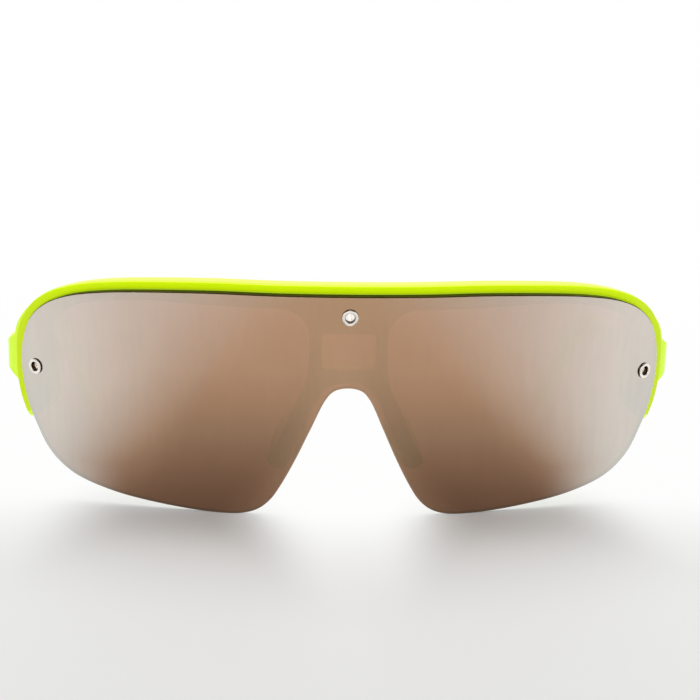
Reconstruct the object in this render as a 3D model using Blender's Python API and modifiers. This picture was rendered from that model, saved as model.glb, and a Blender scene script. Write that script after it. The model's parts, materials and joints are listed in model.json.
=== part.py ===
"""Wraparound sunglasses: one wide shield lens riveted onto the front of a moulded half frame.

X runs across the face (+X is the wearer's left), Y runs back to the ears and Z is up. The glasses
stand open on a table, on the lens's two lowest points and the two temple tips.

The front is drawn flat in (u, v, d): u along the front curve from the middle, v up from the lens's
lowest point, d back from the lens's front face. place() then wraps it round the face, turns the
corners to the temples and tips it forward.
"""

import math

import bmesh
import bpy
from mathutils import Matrix, Vector

MM = 0.001

# Front curve and stance
FRONT_RADIUS = 108 * MM
FRONT_TILT = math.radians(12)
CORNER_SETBACK = 4.8 * MM
CORNER_RADIUS = 6.0 * MM
OUTER_LEAN = math.radians(7)

# Lens
LENS_HALF_WIDTH = 76.85 * MM
LENS_HEIGHT = 50.3 * MM
LENS_THICKNESS = 2.0 * MM
LENS_RIM = 0.3 * MM
LENS_EDGE_shares = (
    (0, 1), (0.196, 0.996), (0.392, 0.985), (0.588, 0.954), (0.719, 0.920), (0.824, 0.876),
    (0.902, 0.818), (0.958, 0.742), (0.988, 0.650), (1, 0.540), (0.995, 0.440), (0.978, 0.344),
    (0.965, 0.298), (0.946, 0.248), (0.908, 0.160), (0.865, 0.104), (0.804, 0.059),
    (0.686, 0.024), (0.523, 0.006), (0.364, 0), (0.287, 0.009), (0.243, 0.034), (0.209, 0.080),
    (0.180, 0.150), (0.141, 0.269), (0.101, 0.408), (0.060, 0.546), (0.037, 0.584), (0, 0.597),
)

# Frame, measured along the front: how far it stands out past the lens and reaches in behind it.
# The two tables go with the first points of the lens's edge, from the top middle round the side.
FRAME_DEPTH = 2.8 * MM
FRAME_RIM = 0.45 * MM
BROW_LIP = 1.8 * MM
SIDE_LIP = 4.3 * MM
BROW_SEAT = 2.4 * MM
SIDE_SEAT = 7.6 * MM
SIDE_LIP_shares = (0, 0, 0, 0, 0, 0, 0.17, 0.45, 1)
SIDE_SEAT_shares = (0.2, 0.2, 0.17, 0, 0, 0.05, 0.2, 0.6, 0.95, 1, 1, 0.75)
FRAME_TOE = 3.8 * MM
TOE_DOWN_share = 0.3

# Bridge and nose
BRIDGE_HALF_WIDTH = 8.5 * MM
EYE_CORNER_RADIUS = 6.2 * MM
WINDOW_HALF_WIDTH = 5.7 * MM
WINDOW_HEIGHT = 7.8 * MM
WINDOW_CORNER = 0.9 * MM
BRIDGE_BAR = 3.1 * MM
ARCH_SETBACK = 0.6 * MM
NOSE_SETBACK = 1.2 * MM
NOSE_LEG_WIDTH = 4.0 * MM
NOSE_LEG_END_share = 0.52

# Nose pads and the fins that carry them
PAD_LENGTH = 10.6 * MM
PAD_WIDTH = 7 * MM
PAD_THICKNESS = 2 * MM
PAD_SPLAY = math.radians(32)
PAD_RAKE = math.radians(25)
PAD_OUT_share = 0.166
PAD_UP_share = 0.314
PAD_BEHIND = 3.5 * MM
FIN_THICKNESS = 1.7 * MM
FIN_HEIGHT = 7 * MM
PEG_RADIUS = 0.7 * MM
PEG_LENGTH = 1.2 * MM

# Lug and temple joint. The lug's roots: how far up or down from the hinge, and how far they
# start in front of the corner.
LUG_REACH = 7 * MM
LUG_ROOT_UP = (4.4 * MM, 0.4 * MM)
LUG_ROOT_DOWN = (6.2 * MM, 1.5 * MM)
HINGE_HEIGHT = 31.7 * MM
TEMPLE_HEIGHT = 7.0 * MM
BUTT_GAP = 0.3 * MM

# Hinge
BARREL_RADIUS = 1.5 * MM
BARREL_HEIGHT = 1.6 * MM
BARREL_GAP = 0.15 * MM
PIN_INSET = 1.1 * MM
LEAF_THICKNESS = 1.0 * MM
LEAF_PROUD = 0.4 * MM
LEAF_LENGTH = 5.9 * MM
LEAF_SETBACK = 1.95 * MM
PIVOT_RADIUS = 0.65 * MM
PIVOT_HEAD_RADIUS = 1.2 * MM
PIVOT_HEAD_HEIGHT = 0.5 * MM
RUNNING_CLEARANCE = 0.07 * MM
FIXING_RADIUS = 0.45 * MM
FIXING_HEAD_RADIUS = 0.8 * MM
FIXING_LENGTH = 2.2 * MM
FIXING_HEAD_HEIGHT = 0.4 * MM

# Temples
TEMPLE_STRAIGHT = 66 * MM
TEMPLE_PITCH = math.radians(2)
EAR_RADIUS = 42 * MM
EAR_BEND = math.radians(40)
TEMPLE_PLAN_RADIUS = 850 * MM
TEMPLE_TIP_HEIGHT = 7.4 * MM
TEMPLE_WAIST_HEIGHT = 6.4 * MM
TEMPLE_THICKNESS = 3.0 * MM
TEMPLE_EDGE = 0.9 * MM
TEMPLE_TIP_ROUND = 4.5 * MM
TIP_SINK_share = 0.28

# Eyelets
EYELET_MARGIN_TOP = 4.5 * MM
EYELET_MARGIN_SIDE = 4.4 * MM
EYELET_SIDE_UP_share = 0.516
EYELET_FLANGE_RADIUS = 1.75 * MM
EYELET_TUBE_RADIUS = 1.25 * MM
EYELET_BORE_RADIUS = 0.97 * MM
EYELET_FLANGE_HEIGHT = 0.45 * MM
WASHER_RADIUS = 2.2 * MM
WASHER_THICKNESS = 0.4 * MM

# Clearances between pieces that touch, and how far a cutter runs past what it cuts
SEAT_GAP = 0.3 * MM
METAL_GAP = 0.1 * MM
POCKET_GAP = 0.15 * MM
OVERRUN = 0.6 * MM

# Finishes: base colour, roughness, metallic and alpha
NEON = ((0.61, 0.87, 0.0), 0.35, 0.0, 1.0)
TINTED = ((0.30, 0.19, 0.12), 0.08, 0.6, 0.85)
NICKEL = ((0.72, 0.71, 0.68), 0.2, 1.0, 1.0)
STEEL = ((0.56, 0.55, 0.54), 0.35, 1.0, 1.0)
PAD_RUBBER = ((0.55, 0.80, 0.02), 0.6, 0.0, 1.0)

# Steps of the rounded shapes
CURVE_STEPS = 3
ARC_STEPS = 5
ROUND_SIDES = 20
SMALL_SIDES = 12
SLICE = 5 * MM
CORNER_STEPS = 6

FRAME_FRONT = LENS_THICKNESS + SEAT_GAP
FRAME_BACK = FRAME_FRONT + FRAME_DEPTH
CORNER_START = LENS_HALF_WIDTH + CORNER_SETBACK
CORNER_HEADING = CORNER_START / FRONT_RADIUS
CORNER_LENGTH = CORNER_RADIUS * (math.pi / 2 - CORNER_HEADING)
CORNER_END = CORNER_START + CORNER_LENGTH
COS_TILT = math.cos(FRONT_TILT)
SIN_TILT = math.sin(FRONT_TILT)
SIDES = (("left", 1), ("right", -1))


def clear_scene():
    for old in list(bpy.data.objects):
        bpy.data.objects.remove(old, do_unlink=True)


def new_collection(name):
    collection = bpy.data.collections.new(name)
    bpy.context.scene.collection.children.link(collection)
    return collection


def paint(made, finish):
    """Give an object a material of its own."""
    colour, roughness, metallic, alpha = finish
    material = bpy.data.materials.new(made.name)
    material.use_nodes = True
    shader = material.node_tree.nodes["Principled BSDF"]
    shader.inputs["Base Color"].default_value = (*colour, 1)
    shader.inputs["Roughness"].default_value = roughness
    shader.inputs["Metallic"].default_value = metallic
    shader.inputs["Alpha"].default_value = alpha
    material.diffuse_color = (*colour, alpha)
    made.data.materials.append(material)


# Front curve

def front_plan(u):
    """Plan position and heading of the lens's front face at u, before the tilt."""
    distance = abs(u)
    if distance <= CORNER_START:
        heading = distance / FRONT_RADIUS
        across = FRONT_RADIUS * math.sin(heading)
        back = FRONT_RADIUS * (1 - math.cos(heading))
    else:
        heading = CORNER_HEADING + min(distance - CORNER_START, CORNER_LENGTH) / CORNER_RADIUS
        across = (FRONT_RADIUS - CORNER_RADIUS) * math.sin(CORNER_HEADING)
        across += CORNER_RADIUS * math.sin(heading)
        back = FRONT_RADIUS - (FRONT_RADIUS - CORNER_RADIUS) * math.cos(CORNER_HEADING)
        back += max(distance - CORNER_END, 0) - CORNER_RADIUS * math.cos(heading)
    return math.copysign(across, u), back, math.copysign(heading, u)


def tilt(across, back, up):
    return Vector((across, COS_TILT * back - SIN_TILT * up, SIN_TILT * back + COS_TILT * up))


def lean_offset(height, weight):
    """How far the lug's and the temple's outer face lean out at a height over the hinge."""
    return height * math.tan(OUTER_LEAN) * weight


def place(u, v, d):
    """World position of a point of the flat drawing."""
    across, back, heading = front_plan(u)
    point = tilt(across - math.sin(heading) * d, back + math.cos(heading) * d, v)
    turned = min(max((abs(u) - LENS_HALF_WIDTH) / (CORNER_END - LENS_HALF_WIDTH), 0), 1)
    outward = min(max((FRAME_BACK - d) / FRAME_DEPTH, 0), 1)
    point.x += math.copysign(lean_offset(point.z - HINGE_HEIGHT, turned * outward), u)
    return point


def inward(u):
    """Direction straight back through the front at u."""
    heading = front_plan(u)[2]
    return tilt(-math.sin(heading), math.cos(heading), 0)


def back_at(u):
    return front_plan(u)[1]


def level_v(height, u):
    """The v at which the lens's front face stands at a height, so that lugs run back level."""
    return (height - SIN_TILT * back_at(u)) / COS_TILT


def butt_u(v):
    """The u of the lug's end, cut upright although the front leans."""
    return CORNER_END + (BUTT_FACE + SIN_TILT * v) / COS_TILT - back_at(CORNER_END)


LUG_MIDDLE_V = (HINGE_HEIGHT - SIN_TILT * back_at(CORNER_END)) / COS_TILT
BUTT_FACE = COS_TILT * (back_at(CORNER_END) + LUG_REACH) - SIN_TILT * LUG_MIDDLE_V
LUG_OUTER = front_plan(CORNER_END)[0] - FRAME_FRONT
LUG_INNER = LUG_OUTER - FRAME_DEPTH
PIVOT = Vector((LUG_INNER - PIN_INSET, BUTT_FACE + BUTT_GAP / 2, HINGE_HEIGHT))


# Flat outlines

def smooth(points, starts_on_middle=False, ends_on_middle=False):
    """Centripetal curve through the points; an end on the middle plane runs square to it."""
    points = [Vector(point) for point in points]
    first = 2 * points[0] - points[1]
    last = 2 * points[-1] - points[-2]
    if starts_on_middle:
        first = Vector((-points[1].x, points[1].y))
    if ends_on_middle:
        last = Vector((-points[-2].x, points[-2].y))
    run = [first] + points + [last]
    result = []
    for a, b, c, e in zip(run, run[1:], run[2:], run[3:]):
        t1 = math.sqrt((b - a).length)
        t2 = t1 + math.sqrt((c - b).length)
        t3 = t2 + math.sqrt((e - c).length)
        for step in range(CURVE_STEPS):
            t = t1 + (t2 - t1) * step / CURVE_STEPS
            ab = a.lerp(b, t / t1)
            bc = b.lerp(c, (t - t1) / (t2 - t1))
            ce = c.lerp(e, (t - t2) / (t3 - t2))
            result.append(ab.lerp(bc, t / t2).lerp(bc.lerp(ce, (t - t1) / (t3 - t1)),
                                                    (t - t1) / (t2 - t1)))
    result.append(points[-1])
    return result


def arc(centre, radius, start, end, steps=ARC_STEPS):
    turn = (end - start) / steps
    return [centre + radius * Vector((math.cos(start + turn * i), math.sin(start + turn * i)))
            for i in range(steps + 1)]


def rounded_box(low, high, radius):
    quarter = math.pi / 2
    corners = ((high.x, high.y), (low.x, high.y), (low.x, low.y), (high.x, low.y))
    points = []
    for number, (x, y) in enumerate(corners):
        inset_x = -radius if x == high.x else radius
        inset_y = -radius if y == high.y else radius
        centre = Vector((x + inset_x, y + inset_y))
        points += arc(centre, radius, quarter * number, quarter * (number + 1), 3)
    return points


def mirrored(half):
    """Close a half outline that starts and ends on the middle plane."""
    return half + [Vector((-point.x, point.y)) for point in reversed(half[1:-1])]


LENS_KNOTS = [Vector((LENS_HALF_WIDTH * out, LENS_HEIGHT * up)) for out, up in LENS_EDGE_shares]
NOSE_TOP = LENS_KNOTS[-1]
TOE_KNOT = 11
NOSE_KNOTS = (26, 25, 24)


def edge_normal(index):
    """Direction out of the lens, in its own sheet, at a knot of its edge."""
    before = LENS_KNOTS[index - 1] if index else Vector((-LENS_KNOTS[1].x, LENS_KNOTS[1].y))
    along = (LENS_KNOTS[index + 1] - before).normalized()
    return Vector((-along.y, along.x))


def edge_offset(index, distance):
    return LENS_KNOTS[index] + edge_normal(index) * distance


def lens_outline():
    return mirrored(smooth(LENS_KNOTS, True, True))


def lug_edge(sign):
    """The lug's upper or lower edge, from its root on the frame's side to the end of the corner."""
    drop, inset = LUG_ROOT_UP if sign > 0 else LUG_ROOT_DOWN
    half = TEMPLE_HEIGHT / 2
    points = []
    for along_share, flare_share in ((0.0, 1.0), (0.3, 0.5), (0.65, 0.12), (1.0, 0.0)):
        u = CORNER_END - (CORNER_LENGTH + inset) * (1 - along_share)
        height = HINGE_HEIGHT + sign * (half + (drop - half) * flare_share)
        points.append(Vector((u, level_v(height, u))))
    return points


def frame_outline():
    """Half outline of the frame, from its top middle round the lug, the toe and the nose."""
    lips = [BROW_LIP + (SIDE_LIP - BROW_LIP) * share for share in SIDE_LIP_shares]
    seats = [BROW_SEAT + (SIDE_SEAT - BROW_SEAT) * share for share in SIDE_SEAT_shares]
    brow = [edge_offset(i, lip) for i, lip in enumerate(lips)]
    lug_top = lug_edge(1)
    outline = smooth(brow + lug_top[:1], starts_on_middle=True) + smooth(lug_top)[1:]
    for sign in (1, -1):
        v = level_v(HINGE_HEIGHT + sign * TEMPLE_HEIGHT / 2, CORNER_END + LUG_REACH)
        outline.append(Vector((butt_u(v), v)))

    toe = LENS_KNOTS[TOE_KNOT + 1].lerp(LENS_KNOTS[TOE_KNOT + 2], TOE_DOWN_share)
    toe_out = edge_normal(TOE_KNOT + 1)
    toe_end = [toe + toe_out * FRAME_TOE,
               toe + toe_out * (FRAME_TOE - BROW_LIP) - toe_out.orthogonal() * FRAME_RIM,
               toe - toe_out * (FRAME_TOE - BROW_LIP)]
    inner = [edge_offset(i, -seats[i]) for i in range(TOE_KNOT, 1, -1)]
    bridge_top = edge_offset(1, -seats[1])
    lug_foot = lug_edge(-1)
    outline += smooth(list(reversed(lug_foot)))[:-1]
    side = edge_offset(TOE_KNOT, (SIDE_LIP + FRAME_TOE) / 2)
    outline += smooth([lug_foot[0], side] + toe_end + inner)

    corner = Vector((BRIDGE_HALF_WIDTH + EYE_CORNER_RADIUS, bridge_top.y - EYE_CORNER_RADIUS))
    outline += arc(corner, EYE_CORNER_RADIUS, math.pi / 2, math.pi)
    leg_outer = [edge_offset(i, -NOSE_SETBACK - NOSE_LEG_WIDTH) for i in NOSE_KNOTS]
    leg_inner = [edge_offset(i, -NOSE_SETBACK) for i in NOSE_KNOTS]
    reach = (LENS_KNOTS[NOSE_KNOTS[-1] - 1] - LENS_KNOTS[NOSE_KNOTS[-1]]) * NOSE_LEG_END_share
    foot = (leg_outer[-1] + leg_inner[-1]) / 2 + reach * 1.25
    end = [leg_outer[-1] + reach, foot, leg_inner[-1] + reach]
    window_foot = Vector((BRIDGE_HALF_WIDTH, NOSE_TOP.y + ARCH_SETBACK + BRIDGE_BAR))
    arch = Vector((0, NOSE_TOP.y + ARCH_SETBACK))
    shoulder = Vector((leg_inner[0].x / 2, arch.y - BRIDGE_BAR / 8))
    outline += smooth([window_foot] + leg_outer + end + list(reversed(leg_inner))
                      + [shoulder, arch])
    outline[-1].x = 0
    return mirrored(outline)


def window_outline():
    low_v = NOSE_TOP.y + ARCH_SETBACK + BRIDGE_BAR
    return rounded_box(Vector((-WINDOW_HALF_WIDTH, low_v)),
                       Vector((WINDOW_HALF_WIDTH, low_v + WINDOW_HEIGHT)), WINDOW_CORNER)


# Solids

def flat_solid(loops, near, far):
    """A flat outline with its holes, from depth near to depth far, as a bmesh in (u, d, v)."""
    curve = bpy.data.curves.new("outline", "CURVE")
    curve.dimensions = "2D"
    curve.fill_mode = "BOTH"
    curve.extrude = (far - near) / 2
    for loop in loops:
        spline = curve.splines.new("POLY")
        spline.points.add(len(loop) - 1)
        for knot, point in zip(spline.points, loop):
            knot.co = (point.x, point.y, 0, 1)
        spline.use_cyclic_u = True
    drawn = bpy.data.objects.new("outline", curve)
    bpy.context.scene.collection.objects.link(drawn)
    evaluated = drawn.evaluated_get(bpy.context.evaluated_depsgraph_get())
    mesh = bpy.data.meshes.new_from_object(evaluated)
    solid = bmesh.new()
    solid.from_mesh(mesh)
    bpy.data.objects.remove(drawn, do_unlink=True)
    bpy.data.curves.remove(curve)
    bpy.data.meshes.remove(mesh)
    bmesh.ops.remove_doubles(solid, verts=solid.verts, dist=METAL_GAP / 100)
    bmesh.ops.dissolve_limit(solid, angle_limit=math.radians(0.05), verts=solid.verts,
                             edges=solid.edges)
    middle = (near + far) / 2
    for vert in solid.verts:
        vert.co = Vector((vert.co.x, middle - vert.co.z, vert.co.y))
    bmesh.ops.recalc_face_normals(solid, faces=solid.faces)
    return solid


def round_rims(solid, width, segments, skip=None):
    """Round the edges between the flat faces and the walls of a flat solid."""
    rims = []
    for edge in solid.edges:
        flats = [abs(face.normal.y) > 0.5 for face in edge.link_faces]
        if flats.count(True) == 1 and not (skip and skip(edge)):
            rims.append(edge)
    bmesh.ops.bevel(solid, geom=rims, offset=width, segments=segments, profile=0.5,
                    affect="EDGES", clamp_overlap=False)


def slice_at(solid, places):
    """Cut a flat solid across u, so that it can bend there."""
    for u in places:
        for signed in {u, -u}:
            bmesh.ops.bisect_plane(solid, geom=solid.verts[:] + solid.edges[:] + solid.faces[:],
                                   plane_co=(signed, 0, 0), plane_no=(1, 0, 0), dist=MM / 10000)


def front_slices(reach):
    count = int(reach / SLICE)
    places = [SLICE * (i + 0.5) for i in range(count)]
    return [place_u for place_u in places if place_u < CORNER_START - SLICE / 4]


def corner_slices():
    return [CORNER_START + CORNER_LENGTH * i / CORNER_STEPS for i in range(CORNER_STEPS + 1)]


def wrap(solid):
    for vert in solid.verts:
        vert.co = place(vert.co.x, vert.co.z, vert.co.y)
    bmesh.ops.triangulate(solid, faces=[face for face in solid.faces if len(face.verts) > 4])


def flip_side(solid):
    for vert in solid.verts:
        vert.co.x = -vert.co.x
    bmesh.ops.reverse_faces(solid, faces=solid.faces)


def box(low, high):
    solid = bmesh.new()
    size = Vector(high) - Vector(low)
    middle = (Vector(high) + Vector(low)) / 2
    bmesh.ops.create_cube(solid, size=1, matrix=Matrix.Translation(middle)
                          @ Matrix.Diagonal((*size, 1)))
    return solid


def rod(start, end, radius, sides=ROUND_SIDES):
    start = Vector(start)
    end = Vector(end)
    along = end - start
    turn = along.to_track_quat("Z", "Y").to_matrix().to_4x4()
    solid = bmesh.new()
    bmesh.ops.create_cone(solid, cap_ends=True, segments=sides, radius1=radius, radius2=radius,
                          depth=along.length,
                          matrix=Matrix.Translation((start + end) / 2) @ turn)
    return solid


def add_object(name, solid, finish, collection, side=1, axis_parent=None):
    """Make a bmesh, drawn on the +X side in world coordinates, an object of its own."""
    if side < 0:
        flip_side(solid)
    mesh = bpy.data.meshes.new(name)
    solid.to_mesh(mesh)
    solid.free()
    mesh.shade_smooth()
    mesh.set_sharp_from_angle(angle=math.radians(35))
    made = bpy.data.objects.new(name, mesh)
    collection.objects.link(made)
    if finish:
        paint(made, finish)
    if axis_parent:
        mesh.transform(Matrix.Translation(-axis_parent.location))
        made.parent = axis_parent
    return made


def add_cutter(name, solid, side=1):
    cutter = add_object(name, solid, None, CUTTERS, side)
    cutter.hide_render = True
    cutter.display_type = "WIRE"
    return cutter


def shape_with(target, operation, name, solid, side=1):
    """Cut a solid out of the target, or join it on, with a Boolean modifier."""
    operand = add_cutter(name, solid, side)
    if target.parent:
        operand.data.transform(Matrix.Translation(-target.parent.location))
        operand.parent = target.parent
    modifier = target.modifiers.new(name, "BOOLEAN")
    modifier.operation = operation
    modifier.solver = "EXACT"
    modifier.object = operand


def turned(name, profile, finish, sides=ROUND_SIDES):
    """A turned piece about Z: a profile of (radius, height), closed or from axis to axis."""
    closed = profile[0][0] > 0
    mesh = bpy.data.meshes.new(name)
    edges = [(i, i + 1) for i in range(len(profile) - 1)]
    if closed:
        edges.append((len(profile) - 1, 0))
    mesh.from_pydata([(radius, 0, height) for radius, height in profile], edges, [])
    made = bpy.data.objects.new(name, mesh)
    PARTS.objects.link(made)
    paint(made, finish)
    screw = made.modifiers.new("turn", "SCREW")
    screw.axis = "Z"
    screw.steps = sides
    screw.render_steps = sides
    screw.use_merge_vertices = True
    screw.merge_threshold = MM / 10000
    return made


# Front

def build_lens():
    solid = flat_solid([lens_outline()], 0, LENS_THICKNESS)
    round_rims(solid, LENS_RIM, 1)
    slice_at(solid, front_slices(LENS_HALF_WIDTH))
    wrap(solid)
    lens = add_object("shield_lens", solid, TINTED, PARTS)
    drill_eyelet_holes(lens)
    return lens


def eyelet_places():
    side_out = LENS_HALF_WIDTH - EYELET_MARGIN_SIDE
    side_up = LENS_HEIGHT * EYELET_SIDE_UP_share
    return (("centre", 0, LENS_HEIGHT - EYELET_MARGIN_TOP),
            ("left", side_out, side_up),
            ("right", -side_out, side_up))


def drill_eyelet_holes(target):
    for name, u, v in eyelet_places():
        start = place(u, v, 0) - inward(u) * OVERRUN
        end = place(u, v, 0) + inward(u) * (FRAME_BACK + OVERRUN)
        shape_with(target, "DIFFERENCE", "hole_" + target.name + "_" + name,
                   rod(start, end, EYELET_TUBE_RADIUS + POCKET_GAP))


def build_frame():
    solid = flat_solid([frame_outline(), window_outline()], FRAME_FRONT, FRAME_BACK)
    at_butt = CORNER_END + LUG_REACH / 2
    round_rims(solid, FRAME_RIM, 2, lambda edge: min(abs(v.co.x) for v in edge.verts) > at_butt
               and abs(edge.verts[0].co.z - edge.verts[1].co.z) > TEMPLE_HEIGHT / 2)
    slice_at(solid, front_slices(CORNER_START) + corner_slices())
    wrap(solid)
    frame = add_object("front_frame", solid, NEON, PARTS)
    drill_eyelet_holes(frame)
    for side_name, side in SIDES:
        shape_with(frame, "UNION", "fin_" + side_name, pad_fin(), side)
        shape_with(frame, "DIFFERENCE", "peg_hole_" + side_name,
                   pad_peg(PEG_RADIUS + POCKET_GAP, PEG_LENGTH + POCKET_GAP), side)
        cut_hinge_seat(frame, side_name, side, -1)
    return frame


def add_eyelet(name, u, v):
    """Hollow rivet: a domed flange on the lens, a tube, and a rolled rim on its washer."""
    tip = -METAL_GAP - EYELET_FLANGE_HEIGHT
    crown = (EYELET_FLANGE_RADIUS + EYELET_BORE_RADIUS) / 2
    washer_front = FRAME_BACK + METAL_GAP
    washer_back = washer_front + WASHER_THICKNESS
    roll = washer_back + METAL_GAP
    end = roll + EYELET_FLANGE_HEIGHT
    rise = EYELET_FLANGE_HEIGHT * 0.6
    profile = [
        (EYELET_TUBE_RADIUS, -METAL_GAP), (EYELET_FLANGE_RADIUS, -METAL_GAP),
        (EYELET_FLANGE_RADIUS, -METAL_GAP - EYELET_FLANGE_HEIGHT / 4), (crown, tip),
        (EYELET_BORE_RADIUS, tip + rise), (EYELET_BORE_RADIUS, end - rise), (crown, end),
        (EYELET_FLANGE_RADIUS, roll + EYELET_FLANGE_HEIGHT / 4), (EYELET_FLANGE_RADIUS, roll),
        (EYELET_TUBE_RADIUS, roll)]
    seat = eyelet_matrix(u, v)
    eyelet = turned("eyelet_" + name, profile, NICKEL)
    eyelet.matrix_world = seat
    bore = EYELET_TUBE_RADIUS + METAL_GAP
    washer = turned("eyelet_washer_" + name,
                    [(bore, washer_back), (WASHER_RADIUS, washer_back),
                     (WASHER_RADIUS, washer_front), (bore, washer_front)], NICKEL)
    washer.matrix_world = seat


def eyelet_matrix(u, v):
    back = inward(u)
    across = Vector((0, -SIN_TILT, COS_TILT)).cross(back).normalized()
    up = back.cross(across)
    turn = Matrix((across, up, back)).transposed().to_4x4()
    return Matrix.Translation(place(u, v, 0)) @ turn


# Nose

def pad_frame():
    """Middle of the nose pad, its long way, its broad way and the way out to its fin."""
    u = LENS_HALF_WIDTH * PAD_OUT_share
    v = LENS_HEIGHT * PAD_UP_share
    middle = place(u, v, FRAME_BACK + PAD_BEHIND)
    broad = Vector((math.sin(PAD_SPLAY), math.cos(PAD_SPLAY), 0))
    out = Vector((math.cos(PAD_SPLAY), -math.sin(PAD_SPLAY), 0))
    long = Vector((-math.sin(PAD_RAKE), -SIN_TILT, COS_TILT)).normalized()
    out = (out - long * out.dot(long)).normalized()
    broad = long.cross(out)
    return middle, long, broad, out


def pad_fin():
    """Fin from the leg's back out behind the pad, drawn square to the pad's length."""
    middle, long, broad, out = pad_frame()
    near = PAD_THICKNESS / 2 + SEAT_GAP
    root = -PAD_BEHIND - FRAME_DEPTH / 2
    section = ((root, near), (PAD_WIDTH / 3, near), (PAD_WIDTH / 3, near + FIN_THICKNESS * 0.7),
               (root, near + FIN_THICKNESS * 1.6))
    solid = bmesh.new()
    rings = []
    for end in (-1, 1):
        rings.append([solid.verts.new(middle + broad * along + out * off
                                      + long * (end * FIN_HEIGHT / 2)) for along, off in section])
    solid.faces.new(rings[0])
    solid.faces.new(reversed(rings[1]))
    for i in range(len(section)):
        j = (i + 1) % len(section)
        solid.faces.new((rings[0][j], rings[0][i], rings[1][i], rings[1][j]))
    bmesh.ops.recalc_face_normals(solid, faces=solid.faces)
    return solid


def pad_peg(radius, length):
    middle, long, broad, out = pad_frame()
    start = middle
    end = middle + out * (PAD_THICKNESS / 2 + SEAT_GAP + length)
    return rod(start, end, radius, SMALL_SIDES)


def build_nose_pad(side_name, side):
    """Soft pad with a domed face and a peg that plugs into the fin."""
    middle, long, broad, out = pad_frame()
    solid = bmesh.new()
    bmesh.ops.create_cube(solid, size=1)
    bmesh.ops.subdivide_edges(solid, edges=solid.edges, cuts=1, use_grid_fill=True)
    turn = Matrix((out, broad, long)).transposed().to_4x4()
    size = Matrix.Diagonal((PAD_THICKNESS, PAD_WIDTH, PAD_LENGTH, 1))
    solid.transform(Matrix.Translation(middle) @ turn @ size)
    pad = add_object("nose_pad_" + side_name, solid, PAD_RUBBER, PARTS, side)
    round_off = pad.modifiers.new("round", "SUBSURF")
    round_off.levels = 2
    round_off.render_levels = 2
    shape_with(pad, "UNION", "peg_" + side_name, pad_peg(PEG_RADIUS, PEG_LENGTH), side)
    return pad


# Hinge

def hinge_outline(way):
    """Plan of a hinge leaf: the barrel and a plate beside it, in front of or behind the pivot."""
    inner = PIN_INSET - LEAF_PROUD
    outer = inner + LEAF_THICKNESS
    meet_inner = -math.acos(inner / BARREL_RADIUS)
    meet_outer = -math.asin(0.5)
    far = -LEAF_LENGTH
    neck = BARREL_RADIUS * math.sin(meet_outer) - (outer - BARREL_RADIUS * math.cos(meet_outer))
    points = [Vector((inner, far)), Vector((outer, far)), Vector((outer, neck))]
    points += arc(Vector((0, 0)), BARREL_RADIUS, meet_outer, meet_inner + 2 * math.pi,
                  ROUND_SIDES * 3 // 4)
    hole = arc(Vector((0, 0)), PIVOT_RADIUS + RUNNING_CLEARANCE, 0, 2 * math.pi, ROUND_SIDES)[:-1]
    if way > 0:
        points = [Vector((point.x, -point.y)) for point in reversed(points)]
    return points, hole


STACK_HALF = BARREL_HEIGHT * 1.5 + BARREL_GAP


def leaf_solid(way):
    """The leaf's plan at full height, standing on the pivot."""
    outline, hole = hinge_outline(way)
    solid = flat_solid([outline, hole], -STACK_HALF, STACK_HALF)
    for vert in solid.verts:
        vert.co = PIVOT + Vector((vert.co.x, vert.co.z, -vert.co.y))
    return solid


def knuckle_gap(way, low, high):
    """The space that the other leaf's barrel turns in, from height low to high on the pivot."""
    reach = BARREL_RADIUS + OVERRUN
    across = PIN_INSET + LEAF_THICKNESS + OVERRUN
    if way < 0:
        return box(PIVOT + Vector((-reach, -LEAF_SETBACK, low)),
                   PIVOT + Vector((across, reach, high)))
    return box(PIVOT + Vector((-reach, -reach, low)),
               PIVOT + Vector((across, LEAF_SETBACK, high)))


def fixing_places(way):
    back = way * (LEAF_SETBACK + LEAF_LENGTH) / 2
    for level_name, level in (("upper", 1), ("lower", -1)):
        yield level_name, PIVOT + Vector((0, back, level * BARREL_HEIGHT * 0.85))


def build_leaf(name, side, way, axis_parent=None):
    leaf = add_object(name, leaf_solid(way), STEEL, PARTS, side, axis_parent)
    knuckle = BARREL_HEIGHT / 2 + BARREL_GAP
    if way < 0:
        shape_with(leaf, "DIFFERENCE", "gap_" + name, knuckle_gap(way, -knuckle, knuckle), side)
    else:
        inner = knuckle - BARREL_GAP
        over = STACK_HALF + OVERRUN
        shape_with(leaf, "DIFFERENCE", "gap_upper_" + name, knuckle_gap(way, inner, over), side)
        shape_with(leaf, "DIFFERENCE", "gap_lower_" + name, knuckle_gap(way, -over, -inner), side)
    for level_name, spot in fixing_places(way):
        start = spot + Vector((PIN_INSET - LEAF_PROUD - OVERRUN, 0, 0))
        end = spot + Vector((PIN_INSET - LEAF_PROUD + LEAF_THICKNESS + OVERRUN, 0, 0))
        shape_with(leaf, "DIFFERENCE", "screw_hole_" + level_name + "_" + name,
                   rod(start, end, FIXING_RADIUS + METAL_GAP, SMALL_SIDES), side)
    return leaf


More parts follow.
